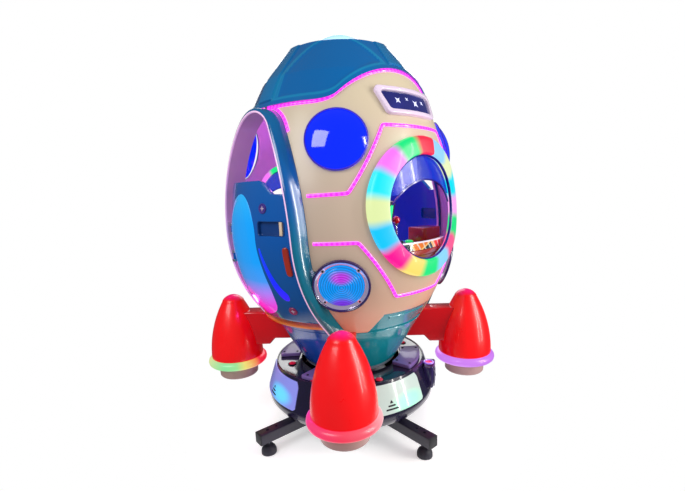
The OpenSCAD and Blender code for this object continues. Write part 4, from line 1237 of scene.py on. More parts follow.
def make_sign():
    outer = rounded([(-0.185, 1.762), (-0.155, 1.642), (0.155, 1.642), (0.185, 1.762)], 0.020, 5)
    inner = rounded([(-0.161, 1.742), (-0.136, 1.662), (0.136, 1.662), (0.161, 1.742)], 0.014, 5)
    from_outer, from_inner = polygon_distance(outer), polygon_distance(inner)
    us, vs = steps(-0.196, 0.196, 0.0065), steps(1.632, 1.772, 0.0065)
    shape = panel(us, vs, front_skin, lambda x, z: max(from_outer(x, z), -from_inner(x, z)),
                  -0.0005, 0.005, height=lambda x, z: 0.019)
    piece("sign_bezel", shape, bezel_lilac, "capsule", "bezel_lilac", "display_bezel")
    shape = panel(us, vs, front_skin, lambda x, z: from_inner(x, z) + 0.0004, -0.0005, 0.002,
                  height=lambda x, z: 0.010)
    piece("sign_screen", shape, screen_navy, "capsule", "screen_navy", "display_screen")
    shape = Shape()
    for x, z, size in ((-0.085, 1.703, 0.017), (-0.030, 1.712, 0.010), (0.022, 1.698, 0.020),
                       (0.078, 1.708, 0.012)):
        star = slab(ring_points(8, size, size * 0.36, start=math.pi / 4), 0.0, 0.0012, 0.0004)
        shape.add(star, skin_matrix(math.asin(x / egg_r(z)), z) @ Matrix.Translation((0, 0, 0.0101)))
    piece("sign_stars", shape, sign_mark, "capsule", "screen_navy")


# ---- doorways and doors ----
def make_surrounds():
    """The band round each doorway, its rim and its pale inner face."""
    wall = SURROUND_T
    section = [(0.0, -0.034, 0), (0.0, 0.020, 0), (0.0, SURROUND_OUT - 0.004, 0),
               (-0.002, SURROUND_OUT - 0.001, 0), (-0.006, SURROUND_OUT, 0), (-0.012, SURROUND_OUT, 1),
               (-wall + 0.003, SURROUND_OUT, 1), (-wall, SURROUND_OUT - 0.003, 1),
               (-wall, SURROUND_OUT - 0.010, 2), (-wall, 0.020, 2), (-wall, -0.034, 2)]
    lines = {inset: arch_line(inset) for inset, _, _ in section}
    rows = []
    for i in range(len(lines[0.0])):
        row = []
        for inset, out, _ in section:
            y, z = lines[inset][i]
            row.append(Vector((math.sqrt(egg_r(z) ** 2 - y * y) + out, y, z)))
        rows.append(row)
    shape = Shape().grid(rows, [part for _, _, part in section], around=True, caps=True)
    paints = [surround_paint, surround_trim, surround_inner]
    for side, part in (("right", shape), ("left", mirrored(shape, 0))):
        piece(f"{side}_surround_band", part, paints, "capsule", "surround_blue",
              f"{side}_door_surround")


def make_sills():
    rows = []
    for y in steps(-0.2794, 0.2794, 0.02):
        inner = math.sqrt(0.4066 ** 2 - y * y)
        outer = [math.sqrt(egg_r(z) ** 2 - y * y) + 0.038 for z in (0.6905, 0.697, 0.7035)]
        rows.append([Vector((inner, y, 0.6905)), Vector((outer[0], y, 0.6905)),
                     Vector((outer[1] + 0.0015, y, 0.697)), Vector((outer[2], y, 0.7035)),
                     Vector((inner, y, 0.704))])
    shape = Shape().grid(rows, around=True, caps=True)
    piece("right_sill_strip", shape, orange, "capsule", "sill_orange", "door_sills")
    piece("left_sill_strip", mirrored(shape, 0), orange, "capsule", "sill_orange")


DOOR_OUT = 0.032
LATCH_TURN = 21.2
LATCH_AT = Vector((0.018, 0, 1.178))
DOOR = rounded([(-0.268, 0.724), (0.248, 0.724), (0.248, 1.150), (0.226, 1.172), (0.226, 1.385),
                (-0.100, 1.385), (-0.170, 1.325), (-0.268, 1.325)],
               [0.014, 0.014, 0.004, 0.004, 0.060, 0.030, 0.030, 0.014], 8)
LEAF = smooth_outline([(0.055, 1.330), (0.150, 1.285), (0.222, 1.190), (0.236, 1.020), (0.205, 0.870),
                       (0.120, 0.760), (0.030, 0.742), (-0.065, 0.785), (-0.088, 0.870),
                       (-0.078, 0.970), (-0.062, 1.080), (-0.056, 1.190), (-0.015, 1.290)], 5)
DROP = smooth_outline([(-0.072, 1.165), (-0.088, 1.080), (-0.122, 0.980), (-0.152, 0.915),
                       (-0.182, 0.875), (-0.175, 0.845), (-0.148, 0.850), (-0.122, 0.890),
                       (-0.098, 0.970), (-0.078, 1.070)], 4)
TUB = rectangle(-0.228, 1.147, -0.087, 1.209, 0.012)
HANDLE = rectangle(-0.242, 0.970, -0.214, 1.100, 0.0135, 6)


def on_door(y, z):
    return side_skin(y, z, DOOR_OUT)


def door_plate(outline, rise, step, lip, crown=0.0):
    """A shaped plate lying on a door's face, optionally crowned towards its middle."""
    distance = polygon_distance(outline)
    ys, zs = [y for y, _ in outline], [z for _, z in outline]

    def height(y, z):
        return rise + crown * smooth_step(0.0, 0.045, -distance(y, z))
    return panel(steps(min(ys) - step, max(ys) + step, step),
                 steps(min(zs) - step, max(zs) + step, step), on_door, distance, -0.0004, lip, height)


def badge(y, z):
    """A plain round badge with a raised edge, and a small star on it."""
    point, normal = on_door(y, z)
    along = UP.cross(normal).normalized()
    matrix = axes(along, normal.cross(along), normal, point)
    disc = revolve([(0.0006, 0.0022), (0.016, 0.0022), (0.018, 0.004), (0.021, 0.004),
                    (0.0225, 0.002), (0.0225, 0.0003), (0.0006, 0.0003)], 40)
    star = slab(ring_points(8, 0.013, 0.005), 0.0022, 0.0038, 0.0005)
    return disc.moved(matrix), star.moved(matrix)


def make_doors():
    """Both half doors with their lit leaf and drop lenses, pull tub, handle, badges and knuckles."""
    from_door, from_tub = polygon_distance(DOOR), polygon_distance(TUB)
    shell = panel(steps(-0.275, 0.256, 0.011), steps(0.715, 1.394, 0.011), on_door,
                  lambda y, z: max(from_door(y, z), arch_gap(y, z) + SURROUND_T + 0.006,
                                   -from_tub(y, z)), 0.0215, 0.003, back=1)
    strap = slab([(-0.024, -0.030), (-0.004, -0.030), (-0.002, -0.006), (-0.010, -0.004),
                  (-0.024, -0.012)], 0.0, 0.033, 0.001)
    barrel = revolve([(0.0052, 0.0), (0.0082, 0.0), (0.009, 0.001), (0.009, 0.032),
                      (0.0082, 0.033), (0.0052, 0.033)], 32)
    ear = slab(rounded([(-0.010, -0.010), (0.010, -0.010), (0.010, 0.010), (0.006, 0.022),
                        (-0.006, 0.022), (-0.010, 0.010)], 0.005), 0, 0.012, 0.001)
    pin = revolve([(0.0006, -0.014), (0.004, -0.0138), (0.0049, -0.0128), (0.0049, 0.0474),
                   (0.004, 0.0484), (0.0006, 0.0486)], 24)
    lug = Shape()
    for z in KNUCKLES:
        for whole, part, rise in ((shell, strap, 0.0005), (shell, barrel, 0.0005), (lug, ear, -0.012),
                                  (lug, ear, 0.034), (lug, pin, 0.0)):
            whole.add(part, Matrix.Translation(HINGE + UP * (z + rise)))
    rings = []
    centre = Vector((-0.1575, 1.178))
    for shrink, out in ((-0.004, 0.0012), (-0.003, 0.0022), (0.0, 0.0022), (0.002, 0.0005),
                        (0.003, -0.0128), (0.006, -0.0135)):
        ring = []
        for y, z in TUB:
            towards = (centre - Vector((y, z))).normalized()
            point, normal = on_door(y + towards.x * shrink, z + towards.y * shrink)
            ring.append(point + normal * out)
        rings.append(ring)
    tub = Shape().grid(rings, around=True)
    tub.face(range(5 * len(TUB), 6 * len(TUB)))
    latch = slab(rectangle(-0.008, -0.030, 0.008, 0.030, 0.004), 0.0, 0.012, 0.003)
    for z in (-0.018, -0.009, 0.0, 0.009, 0.018):
        latch.add(slab(rectangle(-0.0055, z - 0.002, 0.0055, z + 0.002), 0.0105, 0.0119, 0.0006))
    out = turn_of(-LATCH_TURN)
    latch = latch.moved(axes(turn_of(90 - LATCH_TURN), UP, out, LATCH_AT + out * (EGG_R + 0.0005)))
    (disc_1, star_1), (disc_2, star_2) = badge(-0.120, 1.265), badge(-0.165, 0.790)
    trims = [("pull_tub", tub, tub_paint, "door_blue"),
             ("leaf_lens", door_plate(LEAF, 0.0025, 0.009, 0.0022, crown=0.0085), leaf_lens, "lens_cyan"),
             ("drop_lens", door_plate(DROP, 0.0022, 0.006, 0.0018, crown=0.0040), drop_lens, "lens_cyan"),
             ("grip", door_plate(HANDLE, 0.0085, 0.0045, 0.0045, crown=0.0020), handle_red, "dash_red"),
             ("badge_1", disc_1, badge_violet, "door_blue"), ("badge_star_1", star_1, badge_star,
                                                              "door_blue"),
             ("badge_2", disc_2, badge_wine, "door_blue"), ("badge_star_2", star_2, badge_star,
                                                            "door_blue")]
    for side, turn in (("right", same), ("left", lambda s: mirrored(s, 0))):
        body = f"{side}_door"
        piece(f"{body}_panel", turn(shell), [door_paint, door_inner], body, "door_blue", body)
        for name, shape, material, slot in trims:
            piece(f"{body}_{name}", turn(shape), material, body, slot)
        piece(f"{side}_hinge_pins", turn(lug), steel, "capsule", "steel")
        piece(f"{side}_latch_thumb", turn(latch), latch_sand, f"{side}_latch", "latch_sand",
              f"{side}_latch")


# ---- boosters and fins ----
# Colours round each booster's lit ring, from its outer side anticlockwise seen from above
RING_TINTS = {
    1: [(0.0, srgb(0, 200, 255)), (0.5, srgb(60, 110, 255)), (1.0, srgb(0, 200, 255))],
    2: [(0.0, srgb(225, 240, 160)), (0.08, srgb(225, 240, 160)), (0.22, srgb(130, 240, 160)),
        (0.29, srgb(150, 240, 150)), (0.335, srgb(245, 235, 110)), (0.40, srgb(255, 150, 70)),
        (0.43, srgb(255, 20, 50)), (0.60, srgb(255, 10, 60)), (0.80, srgb(255, 60, 120)),
        (1.0, srgb(225, 240, 160))],
    3: [(0.0, srgb(255, 20, 70)), (0.12, srgb(255, 80, 100)), (0.22, srgb(255, 185, 190)),
        (0.32, srgb(255, 195, 200)), (0.50, srgb(255, 120, 180)), (0.72, srgb(255, 0, 180)),
        (0.84, srgb(255, 0, 110)), (1.0, srgb(255, 20, 70))],
    4: [(0.0, srgb(200, 110, 255)), (0.5, srgb(215, 135, 255)), (1.0, srgb(200, 110, 255))]}


def make_boosters():
    side, tip = 0.660, 0.072
    join = BOOSTER_TIP - 0.037
    wall = [(math.sqrt(side ** 2 - (z - BOOSTER_Z) ** 2) - (side - BOOSTER_R), z)
            for z in steps(BOOSTER_Z + 0.004, join, 0.012)]
    start = math.asin((join - BOOSTER_TIP + tip) / tip)
    nose = [(tip * math.cos(a), BOOSTER_TIP - tip + tip * math.sin(a))
            for a in (start + (math.pi / 2 - start) * k / 12 for k in range(1, 12))]
    profile = [(BOOSTER_R - 0.005, BOOSTER_Z), (BOOSTER_R - 0.001, BOOSTER_Z + 0.0006)]
    profile += wall + nose + [(0.0008, BOOSTER_TIP), (0.0008, BOOSTER_TIP - 0.005)]
    profile += [(max(0.004, r - 0.005), z - 0.003) for r, z in reversed(wall[::4] + nose[-3:-1])]
    ring = [(0.106, 0.3492), (0.148, 0.3492), (0.158, 0.352), (0.165, 0.359), (0.168, 0.371),
            (0.166, 0.381), (0.160, 0.389), (0.151, 0.3945), (0.140, 0.3955), (0.134, 0.391),
            (0.134, 0.3535), (0.106, 0.3535)]
    cap = [(0.0008, 0.2765), (0.100, 0.2762), (0.1045, 0.2775), (0.1095, 0.283), (0.1128, 0.347),
           (0.107, 0.3476), (0.104, 0.345), (0.101, 0.285), (0.0008, 0.285)]
    high, low, foot = SEAM_Z + 0.0096, 0.470, 0.505
    outline = rounded([(egg_r(high) - 0.007, high), (0.620, high), (0.620, low), (0.462, low),
                       (0.430, foot), (egg_r(foot) - 0.007, foot)],
                      [0, 0.004, 0.004, 0.012, 0.012, 0])
    fin = slab(outline, -0.055, 0.055, 0.008)
    shell, cup, hoop = revolve(profile), revolve(cap), revolve(ring, 120)
    hoop.uvs = [[((i // len(ring) + (c in (1, 2))) / 120, 0.5) for c in range(4)]
                for i in range(len(hoop.faces))]
    for number, angle in enumerate(CORNERS, 1):
        matrix = Matrix.Translation(turn_of(angle) * BOOSTER_REACH) @ turned(angle)
        tint = surface(f"booster_lamp_{number}", srgb(96, 72, 80), rough=0.3, coat=0.25, wear=0,
                       mottle=0.03, glow=along_uv(RING_TINTS[number]), glow_strength=0.85)
        upright = axes(turn_of(angle), UP, turn_of(angle).cross(UP))
        for name, shape, place, material, slot, node in (
                ("booster", shell, matrix, booster_red, "booster_red", "booster_shells"),
                ("booster_ring", hoop, matrix, tint, "booster_lamp", "booster_rings"),
                ("booster_cup", cup, matrix, cap_grey, "cap_grey", "booster_caps"),
                ("fin", fin, upright, fin_red, "fin_red", "fins")):
            piece(f"{name}_{number}", shape.moved(place), material, "capsule", slot,
                  node if number == 1 else ())


# ---- base ----
def dense(outline, step=0.012):
    """The outline with its long sides divided, so that it can be bent."""
    result = []
    for (ax, ay), (bx, by) in zip(outline, outline[1:] + outline[:1]):
        for t in steps(0, 1, min(1.0, step / max(1e-9, math.hypot(bx - ax, by - ay))))[:-1]:
            result.append((ax + (bx - ax) * t, ay + (by - ay) * t))
    return result


def sector(middle, half, r_low, r_high, z_low, z_high, corner, lip):
    """A plate bent round the Z axis, half degrees to each side of middle."""
    mean = (r_low + r_high) / 2
    wide = math.radians(half) * mean
    shape = slab(dense(rectangle(-wide, r_low, wide, r_high, corner)), z_low, z_high, lip)
    shape.points = [turn_of(middle + math.degrees(s / mean)) * r + UP * z for s, r, z in shape.points]
    return shape


def on_drum(turn, z):
    """Point and normal on the drum's sloping wall, turn in radians from +X."""
    slope = (DRUM_R - 0.431) / 0.140
    out = turn_of(math.degrees(turn))
    lean = math.atan(slope)
    return (out * (DRUM_R + 0.0004 - (z - 0.236) * slope) + UP * z,
            out * math.cos(lean) + UP * math.sin(lean))


def leg_turn(number):
    return turned(LEG_TURN + 90 * number)


def make_frame():
    tube, reach = 0.030, 0.622
    lying = Matrix(((0, 0, 1), (1, 0, 0), (0, 1, 0))).to_4x4()
    low, high = 0.070, 0.130
    section = rectangle(-tube, low, tube, high, 0.006)
    leg = slab(section, -reach, reach, 0.0008)
    plug = slab(section, 0.6222, 0.6258, 0.0015)
    step = 0.008
    plug.add(slab(rectangle(step - tube, low + step, tube - step, high - step), 0.6250, 0.6260, 0.0004))
    shape, bolts, caps = Shape(), Shape(), Shape()
    for k in range(2):
        shape.add(leg, leg_turn(k) @ lying)
    shape.add(revolve([(0.001, 0.1300), (0.328, 0.1300), (0.330, 0.132), (0.330, 0.1365),
                       (0.3285, 0.1379), (0.001, 0.1379)]))
    for k in range(4):
        for r, size in ((FOOT_REACH, 0.009), (0.520, 0.006)):
            head = revolve([(0.0006, 0.1345), (size * 0.6, 0.1340), (size, 0.1318), (size, 0.1298),
                            (0.0006, 0.1298)], 20)
            bolts.add(head, leg_turn(k) @ Matrix.Translation((r, 0, 0)))
        caps.add(plug, leg_turn(k) @ lying)
    piece("leg_frame", shape, frame_black, "base", "frame_black", "base_frame")
    piece("leg_bolts", bolts, bolt_black, "base", "bolt_zinc")
    piece("leg_end_plugs", caps, black_plastic, "base", "cap_black", "tube_end_caps")


def make_feet():
    bell = [(0.0008, 0.0002), (0.036, 0.0002), (0.0392, 0.001), (0.040, 0.004), (0.040, 0.012)]
    bell += [(0.040 * math.cos(a), 0.012 + 0.040 * math.sin(a))
             for a in (math.radians(d) for d in range(8, 66, 6))]
    bell += [(0.0145, 0.050), (0.0148, 0.0535), (0.013, 0.0545), (0.0085, 0.0546), (0.0008, 0.0546)]
    thread = [(0.0008, 0.0546)] + [(0.0078 - 0.0008 * (k % 2), 0.0546 + 0.0009 * k)
                                   for k in range(62)] + [(0.0008, 0.1115)]
    stud = revolve(thread, 24).add(slab(ring_points(6, 0.0128), 0.0602, 0.0698, 0.0012))
    foot = revolve(bell, 64)
    for number in range(1, 5):
        place = leg_turn(number - 1) @ Matrix.Translation((FOOT_REACH, 0, 0))
        body = f"foot_{number}"
        piece(f"{body}_bell", foot.moved(place), foot_rubber, body, "foot_rubber", body)
        piece(f"{body}_stud", stud.moved(place), zinc, body, "bolt_zinc")


def make_drum():
    wall = [(0.3225, 0.1382), (0.416, 0.1382), (0.420, 0.1394), (0.454, 0.1635), (0.4575, 0.1668),
            (0.4765, 0.1965), (0.478, 0.2005), (0.478, 0.2315), (0.4768, 0.2350), (0.4272, 0.3870),
            (0.4262, 0.3898), (0.4240, 0.3908), (0.4215, 0.3900), (0.4213, 0.3796), (0.4005, 0.3796),
            (0.4005, 0.3732), (0.4195, 0.3730), (0.4705, 0.2330), (0.4715, 0.2020), (0.4520, 0.1720),
            (0.4170, 0.1445), (0.3225, 0.1440)]
    piece("drum_skirt", revolve(wall, 144), drum_dark, "base", "drum_black", "drum_shell")
    deck = [(0.2855, 0.3805), (0.4200, 0.3805), (0.4208, 0.3812), (0.4208, 0.3840), (0.4198, 0.3850),
            (0.2868, 0.3850), (0.2855, 0.3840)]
    piece("deck_disc", revolve(deck, 144), deck_dark, "base", "drum_black", "deck_plate")
    covers, bolts = Shape(), Shape()
    bolt = revolve([(0.0006, 0.0034), (0.0045, 0.0030), (0.0072, 0.0008), (0.0072, 0.0),
                    (0.0006, 0.0)], 20)
    for middle in (PANEL_TURN - 45 + 90 * k for k in range(4)):
        covers.add(sector(middle, 21.8, 0.2925, 0.4075, 0.3853, 0.4058, 0.010, 0.004))
        for spot in (-17, 17):
            for r in (0.312, 0.390):
                bolts.add(bolt, Matrix.Translation(turn_of(middle + spot) * r + UP * 0.4057))
    piece("deck_cover_plates", covers, cover_purple, "base", "cover_grey", "deck_covers")
    piece("deck_cover_bolts", bolts, bolt_black, "base", "bolt_zinc")
    lamp = revolve([(0.0006, 0.0120), (0.010, 0.0112), (0.0165, 0.0085), (0.019, 0.004),
                    (0.019, 0.001), (0.0006, 0.001)], 32)
    socket = revolve([(0.0185, 0.0002), (0.0245, 0.0002), (0.0245, 0.003), (0.0225, 0.0045),
                      (0.0198, 0.0045), (0.0185, 0.003)], 32)
    lamps, sockets = Shape(), Shape()
    for angle, r in ((-70.6, 0.350), (-201, 0.350), (-21, 0.350), (-111, 0.3945), (69, 0.350),
                     (-160.6, 0.3945)):
        place = Matrix.Translation(turn_of(angle) * r + UP * 0.3850)
        lamps.add(lamp, place)
        sockets.add(socket, place)
    piece("deck_lamps", lamps, lamp_red, "base", "button_pink")
    piece("deck_lamp_sockets", sockets, bolt_black, "base", "drum_black")


BEND_R = 0.455           # mean radius that the light panels are bent to


def panel_paint(name, base, glow_at, tint, strength):
    return surface(name, base, rough=0.22, coat=0.7, wear=0.05, mottle=0.03,
                   glow=glow_spots(shade(base, 0.55), [(*glow_at, 0.030, tint)], (0.46, 1.0)),
                   glow_strength=strength)


def make_panels():
    """Four lit panels round the drum, each with a vent mark of a triangle over slanted bars."""
    tones = [(srgb(176, 190, 184), srgb(40, 240, 180)), (srgb(176, 178, 190), srgb(60, 200, 255)),
             (srgb(166, 176, 192), srgb(60, 240, 160)), (srgb(128, 134, 216), srgb(0, 225, 255))]
    half = math.radians(25)
    wide, top = half * BEND_R, half * 0.420
    outline = rounded([(-wide, 0.236), (wide, 0.236), (wide, 0.350), (top, 0.376),
                       (-half * 0.440, 0.376)], [0.010, 0.010, 0.006, 0.006, 0.012])
    for k, (base, tint) in enumerate(tones):
        middle = math.radians(PANEL_TURN - 90 + 90 * k)

        def placed(u, v):
            return on_drum(middle + u / BEND_R, v)
        shape = panel(steps(-0.21, 0.21, 0.012), steps(0.226, 0.386, 0.010), placed,
                      polygon_distance(outline), 0.0, 0.002, height=lambda u, v: 0.0048)
        glow_at, centre = ((0.060, 0.281), -0.010) if k == 3 else ((0.094, 0.268), -0.016)
        piece(f"light_panel_{k + 1}", shape,
              panel_paint(f"light_panel_{k + 1}", base, glow_at, tint, 0.85), "base", "panel_white",
              "light_panels" if k == 0 else ())
        marks = Shape()
        for mark in ([(-0.011, 0.284), (0.011, 0.284), (0.0, 0.300)],
                     [(-0.024, 0.2690), (0.024, 0.2690), (0.019, 0.2770), (-0.019, 0.2770)],
                     [(-0.037, 0.2530), (0.037, 0.2530), (0.032, 0.2610), (-0.032, 0.2610)]):
            inside = polygon_distance([(centre + u, v) for u, v in mark])
            marks.add(panel(steps(centre - 0.040, centre + 0.040, 0.003), steps(0.249, 0.303, 0.003),
                            placed, inside, -0.0046, 0.0007, height=lambda u, v: 0.0056))
        piece(f"vent_mark_{k + 1}", marks, vent_black, "base", "drum_black")


def make_pod():
    """Control pod with the ringed start button, coin slot and coin door."""
    box_dir = -60
    shape = sector(box_dir, 6.9, 0.440, 0.4955, 0.2405, 0.3695, 0.010, 0.009)
    ring = revolve([(0.0195, 0.3692), (0.030, 0.3692), (0.0305, 0.372), (0.0275, 0.3768),
                    (0.0225, 0.3768), (0.0195, 0.373)], 64)
    spot = Matrix.Translation(turn_of(box_dir) * 0.462)
    piece("control_pod", shape, pod_plum, "base", "box_plum", "control_box")
    piece("start_button_ring", ring.moved(spot), pod_ring, "base", "box_plum")
    button = revolve([(0.0008, 0.3762), (0.009, 0.3758), (0.0145, 0.3742), (0.0170, 0.3715),
                      (0.0186, 0.3700), (0.0186, 0.3465), (0.0008, 0.3465)], 48)
    piece("start_button_cap", button.moved(spot), button_pink, "start_button", "button_pink",
          "start_button")
    low, high = 0.2522, 0.3318
    door = sector(box_dir, 4.0, 0.4965, 0.4989, low, high, 0.001, 0.0008)
    lock = revolve([(0.0006, 0.0038), (0.0060, 0.0038), (0.0078, 0.0022), (0.0078, 0.0),
                    (0.0006, 0.0)], 28)
    lock.add(slab(rectangle(-0.0042, -0.0008, 0.0042, 0.0008), 0.0036, 0.0042, 0.0002))
    door.add(lock, Matrix.Translation(turn_of(box_dir + 1.5) * 0.4985 + UP * 0.292)
             @ turned(box_dir + 1.5) @ turned(90, "Y"))
    hinge = Matrix.Translation(turn_of(box_dir - 4) * 0.499)
    door.add(revolve([(0.0004, low), (0.0021, low), (0.0025, low + 0.0004), (0.0025, high - 0.0004),
                      (0.0021, high), (0.0004, high)], 20), hinge)
    piece("coin_door_plate", door, coin_steel, "coin_door", "coin_door", "coin_door")
    slot = sector(box_dir, 2.2, 0.4945, 0.4972, 0.3425, 0.3600, 0.002, 0.0008)
    slot.add(sector(box_dir, 1.1, 0.4960, 0.4978, 0.3490, 0.3520, 0.0004, 0.0002))
    for z in (0.2446, 0.3324):
        slot.add(revolve([(0.0004, z), (0.0024, z), (0.0024, z + 0.007), (0.0004, z + 0.007)], 20),
                 hinge)
    piece("coin_slot_plate", slot, zinc, "base", "bolt_zinc")


# ---- cabin interior ----
def box_slab(low, high, corner, lip):
    """A box with rounded upright corners and edges."""
    return slab(rectangle(*low[:2], *high[:2], corner, 5), low[2], high[2], lip)


def make_dash():
    y_front, y_back = -0.27, -0.2705
    under, top, apron_top = 1.0225, 1.0495, 1.085
    reach = egg_r(under, -0.026)
    limit = min(0.438, math.sqrt(reach ** 2 - y_front ** 2) - 0.002)
    outline = [(x, -math.sqrt(reach ** 2 - x * x)) for x in steps(-limit, limit, 0.02)]
    shape = slab(outline + [(limit, y_back), (-limit, y_back)], under, top, 0.006)
    piece("dash_shelf", shape, dash_red, "capsule", "dash_red", "dash_console")
    rows, rear = [], 0.331
    for z in steps(0.7025, under - 0.0005, 0.02):
        reach = egg_r(z, -0.028)
        half = min(0.264, math.sqrt(reach ** 2 - rear ** 2) - 0.002)
        front = [(x, -math.sqrt(reach ** 2 - x * x)) for x in (half * k / 8 for k in range(-8, 9))]
        rows.append([Vector((x, y, z)) for x, y in front + [(half, -rear), (-half, -rear)]])
    box = Shape().grid(rows, around=True, caps=True)
    box.add(box_slab((-0.180, -0.3315, 0.760), (0.180, -0.3285, 0.960), 0.015, 0.0015))
    piece("dash_pedestal", box, dash_red, "capsule", "dash_red")
    ledge = swept([(Vector((x, -0.2715, top)), UP) for x in steps(-0.43, 0.43, 0.05)],
                  [(-0.004, 0.0), (-0.0035, 0.004), (0.0, 0.0055), (0.0035, 0.004), (0.004, 0.0)])
    piece("dash_rear_bead", ledge, dash_trim, "capsule", "dash_red")
    rows, line = [], []
    for x in steps(-0.215, 0.215, 0.015):
        low, high = (math.sqrt(egg_r(z, -0.030) ** 2 - x * x) for z in (top + 0.0005, apron_top))
        rows.append([Vector((x, y, z)) for y, z in (
            (-low, top + 0.0005), (-high, apron_top), (0.010 - high, apron_top),
            (0.010 - low, top + 0.0005))])
        line.append((Vector((x, -high + 0.005, apron_top + 0.0005)), UP))
    apron = Shape().grid(rows, around=True, caps=True)
    piece("dash_apron", apron, apron_print, "capsule", "screen_navy")
    lip = swept(line, [(-0.007, -0.002), (-0.006, 0.003), (0.0, 0.005), (0.006, 0.003),
                       (0.007, -0.002)])
    piece("dash_apron_lip", lip, ledge_white, "capsule", "bezel_lilac")
    block = box_slab((0.190, -0.405, top + 0.0005), (0.330, -0.285, 1.128), 0.015, 0.006)
    piece("dash_armrest", block, dash_red, "capsule", "dash_red")
    ring = revolve([(0.0242, top), (0.0360, top), (0.0358, 1.0630), (0.0335, 1.0675),
                    (0.0268, 1.0675), (0.0242, 1.0650)], 48)
    piece("joystick_collar", ring.moved(Matrix.Translation((*STICK.xy, 0))), black_plastic,
          "capsule", "dash_red")


def make_monitor():
    place = Matrix.Translation((-0.150, -0.352, 1.050)) @ turned(18)
    upright = place @ turned(12, "X") @ Matrix(((1, 0, 0), (0, 0, -1), (0, 1, 0))).to_4x4()
    case = slab(rectangle(-0.139, 0.041, 0.139, 0.229, 0.014, 5), -0.0175, 0.0175, 0.006)
    case.add(slab(rectangle(-0.019, 0.006, 0.019, 0.062, 0.004), -0.010, 0.007, 0.002))
    foot = box_slab((-0.039, -0.029, 0.0005), (0.039, 0.029, 0.0095), 0.012, 0.003)
    piece("monitor_case", case.moved(upright).add(foot, place), monitor_case, "capsule",
          "monitor_navy", "monitor")
    face = slab(rectangle(-0.124, 0.055, 0.124, 0.215, 0.006), -0.0182, -0.0172, 0.0004)
    piece("monitor_screen", face.moved(upright), monitor_face, "capsule", "screen_navy")
    edge = slab([(0.108, 0.226), (0.062, 0.198), (0.118, 0.046), (0.128, 0.052)], 0.0174, 0.0195,
                0.0008)
    piece("monitor_side_light", edge.moved(upright), edge_green, "capsule", "button_green")


def make_controls():
    rod = revolve([(0.0006, -0.0088), (0.0048, -0.0085), (0.0048, 0.098), (0.0006, 0.0985)], 24)
    collar = revolve([(0.0006, 0.088), (0.0075, 0.088), (0.0095, 0.094), (0.0095, 0.100),
                      (0.0006, 0.1005)], 32)
    ball = revolve([(0.0004 + 0.0196 * math.sin(math.radians(a)),
                     0.116 - 0.0198 * math.cos(math.radians(a))) for a in range(0, 181, 9)], 40)
    here = Matrix.Translation(STICK)
    piece("joystick_rod", rod.moved(here), lever_chrome, "joystick_lever", "lever_chrome",
          "joystick_lever")
    piece("joystick_collar_nut", collar.moved(here), dark_steel, "joystick_lever", "gimbal_dark")
    piece("joystick_ball", ball.moved(here), knob_red, "joystick_lever", "dash_red")
    cap = revolve([(0.0006, 0.0109), (0.014, 0.0104), (0.0195, 0.0080), (0.0218, 0.004),
                   (0.0218, -0.0008), (0.0137, -0.0008), (0.0137, -0.0238), (0.0006, -0.0238)], 40)
    piece("dash_button_cap", cap.moved(Matrix.Translation((0.150, -0.330, 1.055))), button_green,
          "dash_button", "button_green", "dash_button")


def make_bench():
    half, front, reach = 0.283, 0.1205, egg_r(0.704, -0.026)
    rear = math.sqrt(reach ** 2 - half ** 2)
    turns = [math.asin(half / reach) * (1 - k / 8) for k in range(1, 16)]
    outline = [(-half, front), (half, front), (half, rear)]
    outline += [(reach * math.sin(a), reach * math.cos(a)) for a in turns] + [(-half, rear)]
    shape = slab(outline, 0.7025, 0.9275, 0.008)
    shape.add(box_slab((-0.249, 0.4045, 0.9265), (0.249, 0.4195, 1.1795), 0.006, 0.006))
    piece("bench_shell", shape, bench_wine, "capsule", "bench_wine", "seat_bench")
    trim = swept([(Vector((x, 0.1200, 0.905)), Vector((0, -1, 0))) for x in steps(-0.25, 0.25, 0.05)],
                 [(-0.006, -0.001), (-0.005, 0.0025), (0.005, 0.0025), (0.006, -0.001)])
    piece("bench_front_bead", trim, dash_trim, "capsule", "dash_red")
    mat = revolve([(0.0008, 0.6905), (0.4045, 0.6905), (0.4056, 0.692), (0.4056, 0.7005),
                   (0.4046, 0.7018), (0.0008, 0.7018)], 120)
    piece("floor_mat", mat, floor_mat, "capsule", "floor_board", "cabin_floor")


def freeze(obj):
    """Applies every modifier."""
    seen = obj.evaluated_get(bpy.context.evaluated_depsgraph_get())
    mesh = bpy.data.meshes.new_from_object(seen)
    obj.modifiers.clear()
    obj.data = mesh


def swell(obj, cap):
    """Fills a closed pad with air by a cloth simulation, no point moving further than cap."""
    scene = bpy.context.scene
    remesh = obj.modifiers.new("voxels", "REMESH")
    remesh.mode, remesh.voxel_size = "VOXEL", 0.006
    freeze(obj)
    start = [v.co.copy() for v in obj.data.vertices]
    cloth = obj.modifiers.new("cloth", "CLOTH")
    cloth.settings.use_pressure = True
    cloth.settings.uniform_pressure_force = 4.0
    cloth.settings.effector_weights.gravity = 0.0
    for number in range(1, 21):
        scene.frame_set(number)
    freeze(obj)
    scene.frame_set(1)
    for vertex, place in zip(obj.data.vertices, start):
        move = vertex.co - place
        if move.length > cap:
            vertex.co = place + move * (cap / move.length)
    smooth = obj.modifiers.new("smooth", "SUBSURF")
    smooth.levels = 1
    freeze(obj)
    obj.data.shade_smooth()


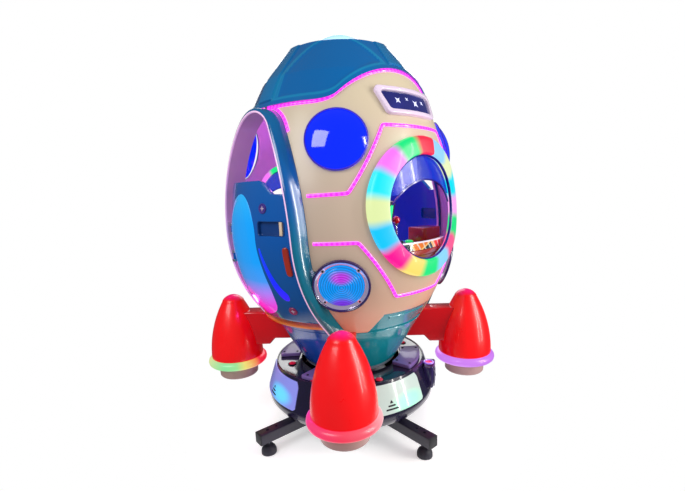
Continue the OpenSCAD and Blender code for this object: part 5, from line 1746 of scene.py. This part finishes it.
def make_cushion(name, node, lies_flat, channels):
    """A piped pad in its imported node's space, with sewn channels across it."""
    low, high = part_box(node)
    inset = 0.012
    a, b = low + Vector((inset,) * 3), high - Vector((inset,) * 3)
    a.z = low.z + 0.006
    outline = dense(rectangle(a.x, a.y, b.x, b.y, 0.020, 5), 0.02)
    shape = slab(outline, a.z, b.z, min(0.016, (b.z - a.z) * 0.4), count=4)
    pad = piece(name, shape, seat_vinyl, "capsule", "seat_blue", node)
    swell(pad, 0.014)
    face = 2 if lies_flat else 1
    toward = 1 if lies_flat else -1
    middle = (low[face] + high[face]) / 2
    for vertex in pad.data.vertices:
        co = vertex.co
        for axis in range(3):
            co[axis] = min(high[axis] + 0.003, max(low[axis], co[axis]))
        if (co[face] - middle) * toward > 0:
            for line in channels:
                away_x = abs(co.x - line)
                co[face] -= toward * 0.008 * math.exp(-(away_x / 0.007) ** 2)
    edge = 0.007
    if lies_flat:
        corners = rectangle(low.x + edge, low.y + edge, high.x - edge, high.y - edge, 0.030, 6)
        path = [(Vector((x, y, middle)), UP) for x, y in dense(corners, 0.02)]
    else:
        corners = rectangle(low.x + edge, low.z + edge, high.x - edge, high.z - edge, 0.030, 6)
        path = [(Vector((x, low.y + 0.010, z)), Vector((0, -1, 0))) for x, z in dense(corners, 0.02)]
    piping = swept(path, ring_points(8, 0.0036), closed=True)
    piece(f"{name}_piping", piping, seat_piping, "capsule", "seat_blue")


DRESSED = {"bearing_outer_race": steel, "bearing_inner_race": steel, "bearing_balls": steel,
           "ring_gear": steel, "drive_pinion": steel, "gear_motor": motor_paint,
           "slip_ring_stator": dark_steel, "joystick_gimbal": dark_steel,
           "power_inlet": black_plastic, "power_supply": alloy, "base_bolts": zinc,
           "turntable_hub": hub_paint, "slip_ring_rotor": brass, "cabin_frame": tube_grey}

for make_part in (make_shells, make_bowl, make_cap, make_beacon, make_strips, make_portholes,
                  make_windows, make_headlights, make_sign, make_surrounds, make_sills, make_doors,
                  make_boosters, make_frame, make_feet, make_drum, make_panels, make_pod, make_dash,
                  make_monitor, make_controls, make_bench):
    make_part()
make_cushion("seat_cushion_pad", "seat_cushion", True, (-0.08, 0.08))
make_cushion("seat_back_pad", "seat_back", False, (-0.08, 0.08))
for node, material in DRESSED.items():
    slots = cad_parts[node].data.materials
    slots.clear()
    slots.append(material)
